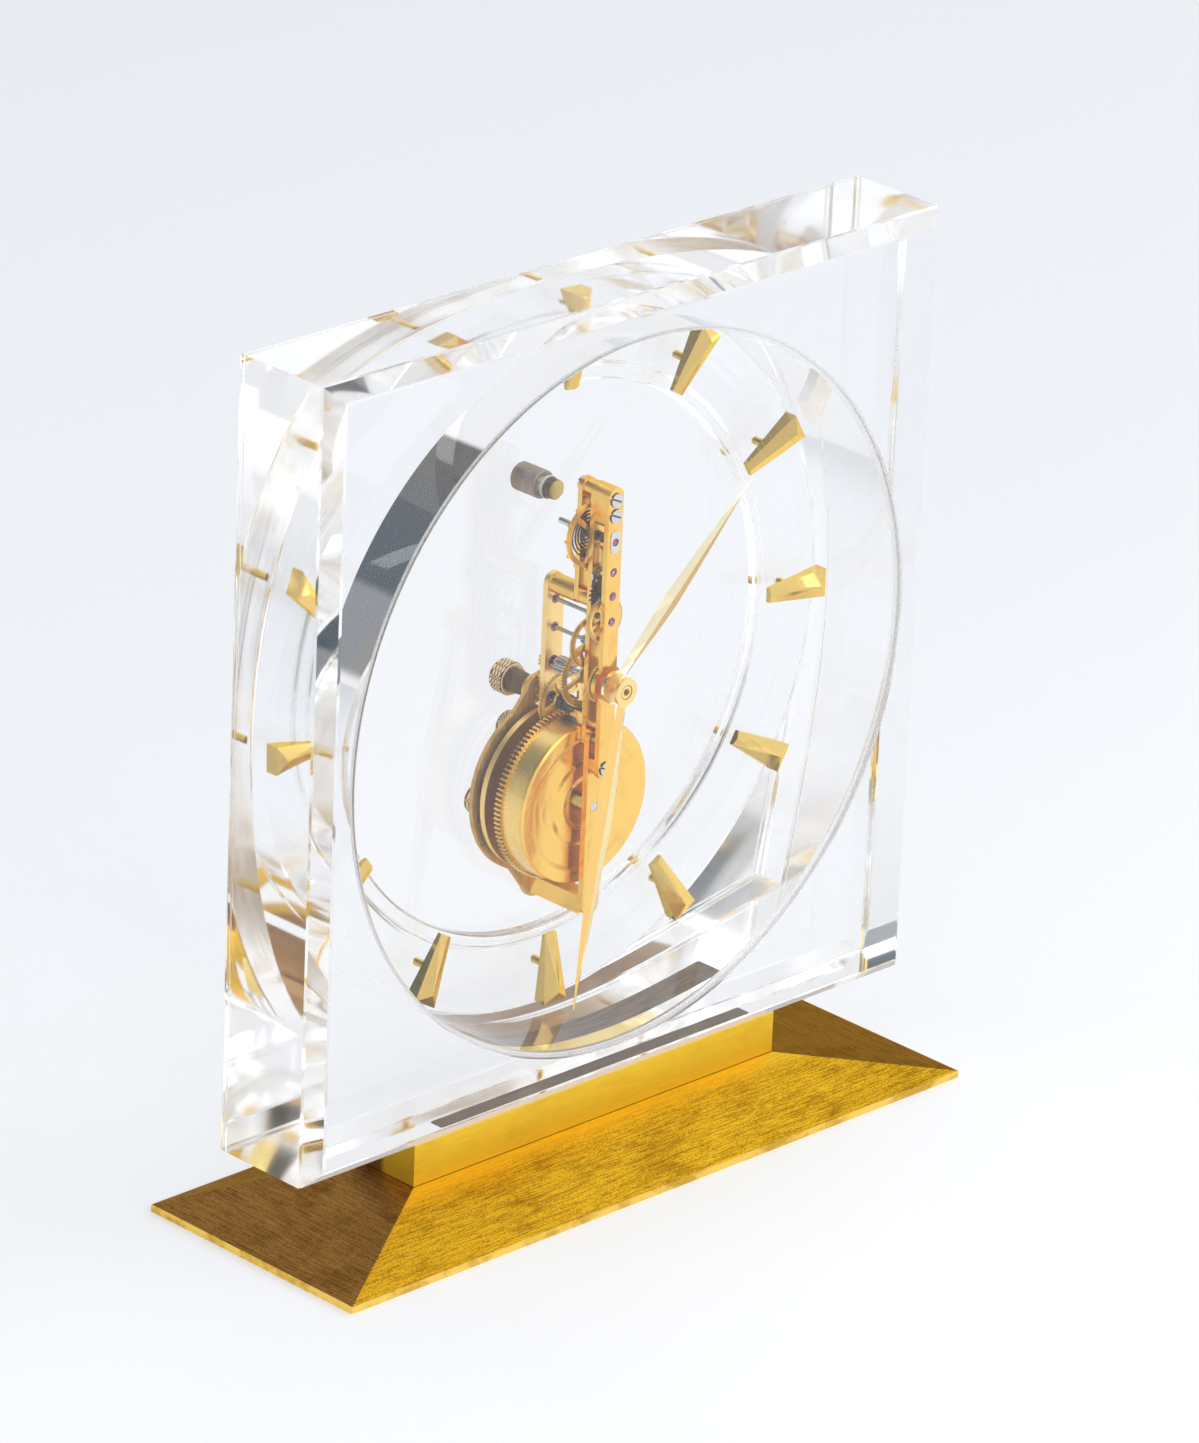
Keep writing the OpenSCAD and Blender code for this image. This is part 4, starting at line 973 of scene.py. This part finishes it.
class CLOCK_OT_controls(bpy.types.Operator):
    """Makes the knurled knobs, the thumb screws and the plug on the back"""

    bl_idname = "clock.controls"
    bl_label = "Rear controls"

    def execute(self, context):
        look = settings("metal")
        size = settings("control")
        skin = Finish("knurled_brass")
        worn = skin.node("ShaderNodeAttribute", {"attribute_name": "wear"}, output="Fac")
        cloud = skin.grain(mm(1.5, 1.5, 1.5), detail=4.0)
        shine = worn.above(0.05, 0.55) * (1 - 0.3 * cloud.above(0.5, 0.75))
        brass = skin.surface(
            Base_Color=skin.mix(shine, col(look.knob_shade), col(look.knob_colour)),
            Metallic=1.0,
            Roughness=0.5 - 0.2 * worn + 0.1 * cloud,
            Normal=skin.bump(cloud, 0.02 * MM),
        )
        knurl = (size.knurl_pitch, size.knurl_depth)

        low, high, x, z, radius = middle("winding_knob")
        bm = bmesh.new()
        knurled(bm, x, z, low.y, high.y, radius, *knurl)
        self.knob(bm, "winding_knob_knurled", brass, "winder_body", "winding_knob")

        low, high, x, z, radius = middle("setting_knob")
        head = high.y - SETTING_HEAD
        bm = bmesh.new()
        knurled(bm, x, z, head, high.y, radius, *knurl)
        turned(bm, [(1.5 * MM, low.y), (2.3 * MM, low.y), (2.8 * MM, head), (1.5 * MM, head)], x, z)
        self.knob(bm, "setting_knob_knurled", brass, "setter_body", "setting_knob")

        low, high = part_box("thumb_screws")
        left, right = low.x + THUMB_RADIUS, high.x - THUMB_RADIUS
        bottom, top = low.z + THUMB_RADIUS, high.z - THUMB_RADIUS
        head = high.y - THUMB_HEAD
        collar = head - 2 * MM
        bm = bmesh.new()
        for x, z in ((0, top), (left, bottom), (right, bottom)):
            knurled(bm, x, z, head, high.y, THUMB_RADIUS, *knurl)
            turned(bm, [(0, collar), (2.6 * MM, collar), (2.6 * MM, head), (0, head)], x, z)
            turned(bm, [(0, low.y), (1.5 * MM, low.y), (1.5 * MM, head), (0, head)], x, z)
        self.knob(bm, "thumb_screws_knurled", brass, "case_body", "thumb_screws")
        self.plug(size)
        return {"FINISHED"}

    def knob(self, bm, name, material, body, node):
        """A knurled piece in a node's place."""
        piece(bm, name, material, body, [node], KNURL_ANGLE)

    def plug(self, size):
        """The plug's head behind the rear panel, its pale washer and its brass tip in front of it."""
        low, high, x, z, radius = middle("access_plug")
        back = PANEL_HIGH.y
        matte = metal(
            "plug_aged_brass", (0.37, 0.30, 0.24), (0.16, 0.12, 0.09),
            mm(0.3, 0.3, 0.3), (0.42, 0.6), 0.02 * MM, 0.8,
        )
        bm = bmesh.new()
        turned(
            bm,
            [(0, back), (radius - 0.3 * MM, back), (radius, back + 0.3 * MM), (radius, high.y - 0.5 * MM),
             (radius - 0.5 * MM, high.y), (radius - 1.2 * MM, high.y), (radius - 1.4 * MM, high.y - 0.2 * MM),
             (0, high.y - 0.2 * MM)],
            x, z,
        )
        end = low.y + 1 * MM
        turned(bm, [(0, end), (PLUG_SHANK, end), (PLUG_SHANK, back), (0, back)], x, z)
        piece(bm, "plug_head", matte, "case_body", ["access_plug"])

        pale = Finish("plug_washer_nylon")
        mottle = pale.grain(mm(0.7, 0.7, 0.7))
        nylon = pale.surface(
            Base_Color=pale.mix(mottle, col(size.washer_colour), (0.40, 0.40, 0.36)),
            Roughness=0.4 + 0.2 * mottle,
        )
        rear = PANEL_LOW.y - 0.02 * MM
        front = PANEL_LOW.y - WASHER_THICK
        edge = 0.1 * MM
        bm = bmesh.new()
        turned(
            bm,
            [(PLUG_SHANK, front), (WASHER_RADIUS - edge, front), (WASHER_RADIUS, front + edge),
             (WASHER_RADIUS, rear), (PLUG_SHANK, rear), (PLUG_SHANK, front)],
            x, z,
        )
        piece(bm, "plug_washer", nylon, "case_body")

        skin = Finish("plug_tip_brass")
        _x, y, _z = skin.axes((0, low.y, 0))
        grime = skin.grain(mm(0.5, 0.5, 0.5), detail=4.0)
        side = y.above(0.12 * MM, 0.35 * MM)
        tip = skin.surface(
            Base_Color=skin.mix(side * 0.85 + grime * 0.2, (0.66, 0.50, 0.17), (0.07, 0.06, 0.05)),
            Metallic=1.0,
            Roughness=0.25 + 0.2 * grime,
        )
        bm = bmesh.new()
        turned(
            bm,
            [(0, low.y), (1.5 * MM, low.y + 0.08 * MM), (1.95 * MM, low.y + 0.12 * MM),
             (2.2 * MM, low.y + 0.25 * MM), (2.3 * MM, front - 0.8 * MM), (2.1 * MM, front - 0.6 * MM),
             (2.1 * MM, front - 0.4 * MM), (2.4 * MM, front - 0.2 * MM), (2.4 * MM, front), (0, front)],
            x, z,
        )
        piece(bm, "plug_tip", tip, "case_body")


class CLOCK_OT_stage(bpy.types.Operator):
    """Lays the pale floor, sets the soft light and places the camera"""

    bl_idname = "clock.stage"
    bl_label = "Stage"

    def execute(self, context):
        look = settings("stage")
        scene = context.scene
        scene.view_settings.view_transform = "Standard"
        for kind in ("max_bounces", "glossy_bounces", "transmission_bounces"):
            setattr(scene.cycles, kind, look.clear_bounces)
        bm = bmesh.new()
        bmesh.ops.create_grid(bm, x_segments=1, y_segments=1, size=6.0)
        mesh = bpy.data.meshes.new("floor")
        bm.to_mesh(mesh)
        bm.free()
        floor = bpy.data.objects.new("floor", mesh)
        scene.collection.objects.link(floor)
        paper = Finish("floor_paper")
        fibre = paper.grain((0.4, 0.4, 0.4), detail=2.0)
        _x, y, _z = paper.axes()
        near = paper.mix(fibre, (0.98, 0.98, 0.98), (0.99, 0.99, 0.99))
        # Painted shade: the floor darkens and turns bluer from the front towards the back
        shade = paper.mix(y.above(-0.3, 0.25), near, col(look.shaded_floor_colour))
        mesh.materials.append(paper.surface(Base_Color=shade, Roughness=0.7))
        self.room(scene, look)
        self.lamp("key_lamp", (-0.35, -0.6, 1.6), (-0.05, 0.0, 0.0), 1.6, look.key_power)
        self.lamp("side_lamp", (1.3, -0.5, 0.9), (0, 0, 0.08), 0.9, look.side_power)
        self.lamp("front_lamp", (-0.15, -1.5, 0.9), (0, 0, 0.1), 0.5, look.front_power)
        self.camera(scene)
        return {"FINISHED"}

    def camera(self, scene):
        """The photograph's camera."""
        camera = bpy.data.cameras.new("photo_camera")
        camera.sensor_fit = "AUTO"
        camera.sensor_width = SENSOR
        camera.lens = PHOTO_FOCAL * SENSOR / PHOTO_HEIGHT
        camera.clip_end = 50.0
        seen = bpy.data.objects.new("photo_camera", camera)
        seen.location = CAMERA_PLACE
        seen.rotation_euler = Euler(CAMERA_TURN, "XYZ")
        scene.collection.objects.link(seen)
        scene.camera = seen

    def lamp(self, name, place, target, width, power):
        """A square area lamp at a place, turned to its target."""
        data = bpy.data.lights.new(name, "AREA")
        data.shape = "SQUARE"
        data.size = width
        data.energy = power
        made = bpy.data.objects.new(name, data)
        made.location = place
        made.rotation_euler = (Vector(target) - Vector(place)).to_track_quat("-Z", "Y").to_euler()
        bpy.context.scene.collection.objects.link(made)

    def room(self, scene, look):
        """Light from all around, with a dark gap between the paper and the lamps at the back left."""
        world = bpy.data.worlds.new("studio_room")
        world.use_nodes = True
        scene.world = world
        sky = Finish("studio_room", world.node_tree)
        way = sky.node("ShaderNodeTexCoord", output="Generated")
        x, y, z = sky.split(way)
        # Radians from the back, and heights as the sine of the angle above the horizon
        bearing = x.maths("ARCTAN2", x, y)
        gap = bearing.between(-0.95, -0.85, -0.17, -0.13)
        high = z.between(0.34, 0.38, 0.76, 0.80)
        low = z.between(0.0, 0.05, 0.34, 0.38)
        dark = sky.mix(bearing.above(-0.7, -0.25), (0.05, 0.075, 0.105), (0.105, 0.098, 0.09))
        colour = sky.mix(gap * (high + 0.78 * low), (0.97, 0.98, 1.0), dark)
        path = sky.node("ShaderNodeLightPath", output="Is Camera Ray")
        shown = sky.mix(path, colour, (0.93, 0.945, 0.97))
        strength = look.room_light + (1 - look.room_light) * path
        light = sky.node("ShaderNodeBackground", None, {"Color": shown, "Strength": strength})
        sky.node("ShaderNodeOutputWorld", None, {"Surface": light})


class CLOCK_PT_panel(bpy.types.Panel):
    """Lists the clock's pieces and settings"""

    bl_idname = "CLOCK_PT_panel"
    bl_label = "Skeleton desk clock"
    bl_space_type = "VIEW_3D"
    bl_region_type = "UI"
    bl_category = "Clock"

    def draw(self, context):
        for step in STEPS:
            self.layout.operator(step.bl_idname)
        for group, kind in GROUPS.items():
            box = self.layout.box()
            box.label(text=kind.__doc__)
            for name in kind.__annotations__:
                box.prop(settings(group), name)


GROUPS = {
    "case": ClockCaseSettings,
    "metal": ClockMetalSettings,
    "control": ClockControlSettings,
    "stage": ClockStageSettings,
}
STEPS = (
    CLOCK_OT_stage,
    CLOCK_OT_case,
    CLOCK_OT_foot,
    CLOCK_OT_dial,
    CLOCK_OT_movement,
    CLOCK_OT_jewels,
    CLOCK_OT_controls,
)


def register():
    for kind in (*GROUPS.values(), *STEPS, CLOCK_PT_panel):
        bpy.utils.register_class(kind)
    for group, kind in GROUPS.items():
        setattr(bpy.types.Scene, "clock_" + group, bpy.props.PointerProperty(type=kind))


def unregister():
    for group in GROUPS:
        delattr(bpy.types.Scene, "clock_" + group)
    for kind in reversed((*GROUPS.values(), *STEPS, CLOCK_PT_panel)):
        bpy.utils.unregister_class(kind)


def main():
    register()
    for step in STEPS:
        category, name = step.bl_idname.split(".")
        getattr(getattr(bpy.ops, category), name)()


if __name__ == "__main__":
    main()
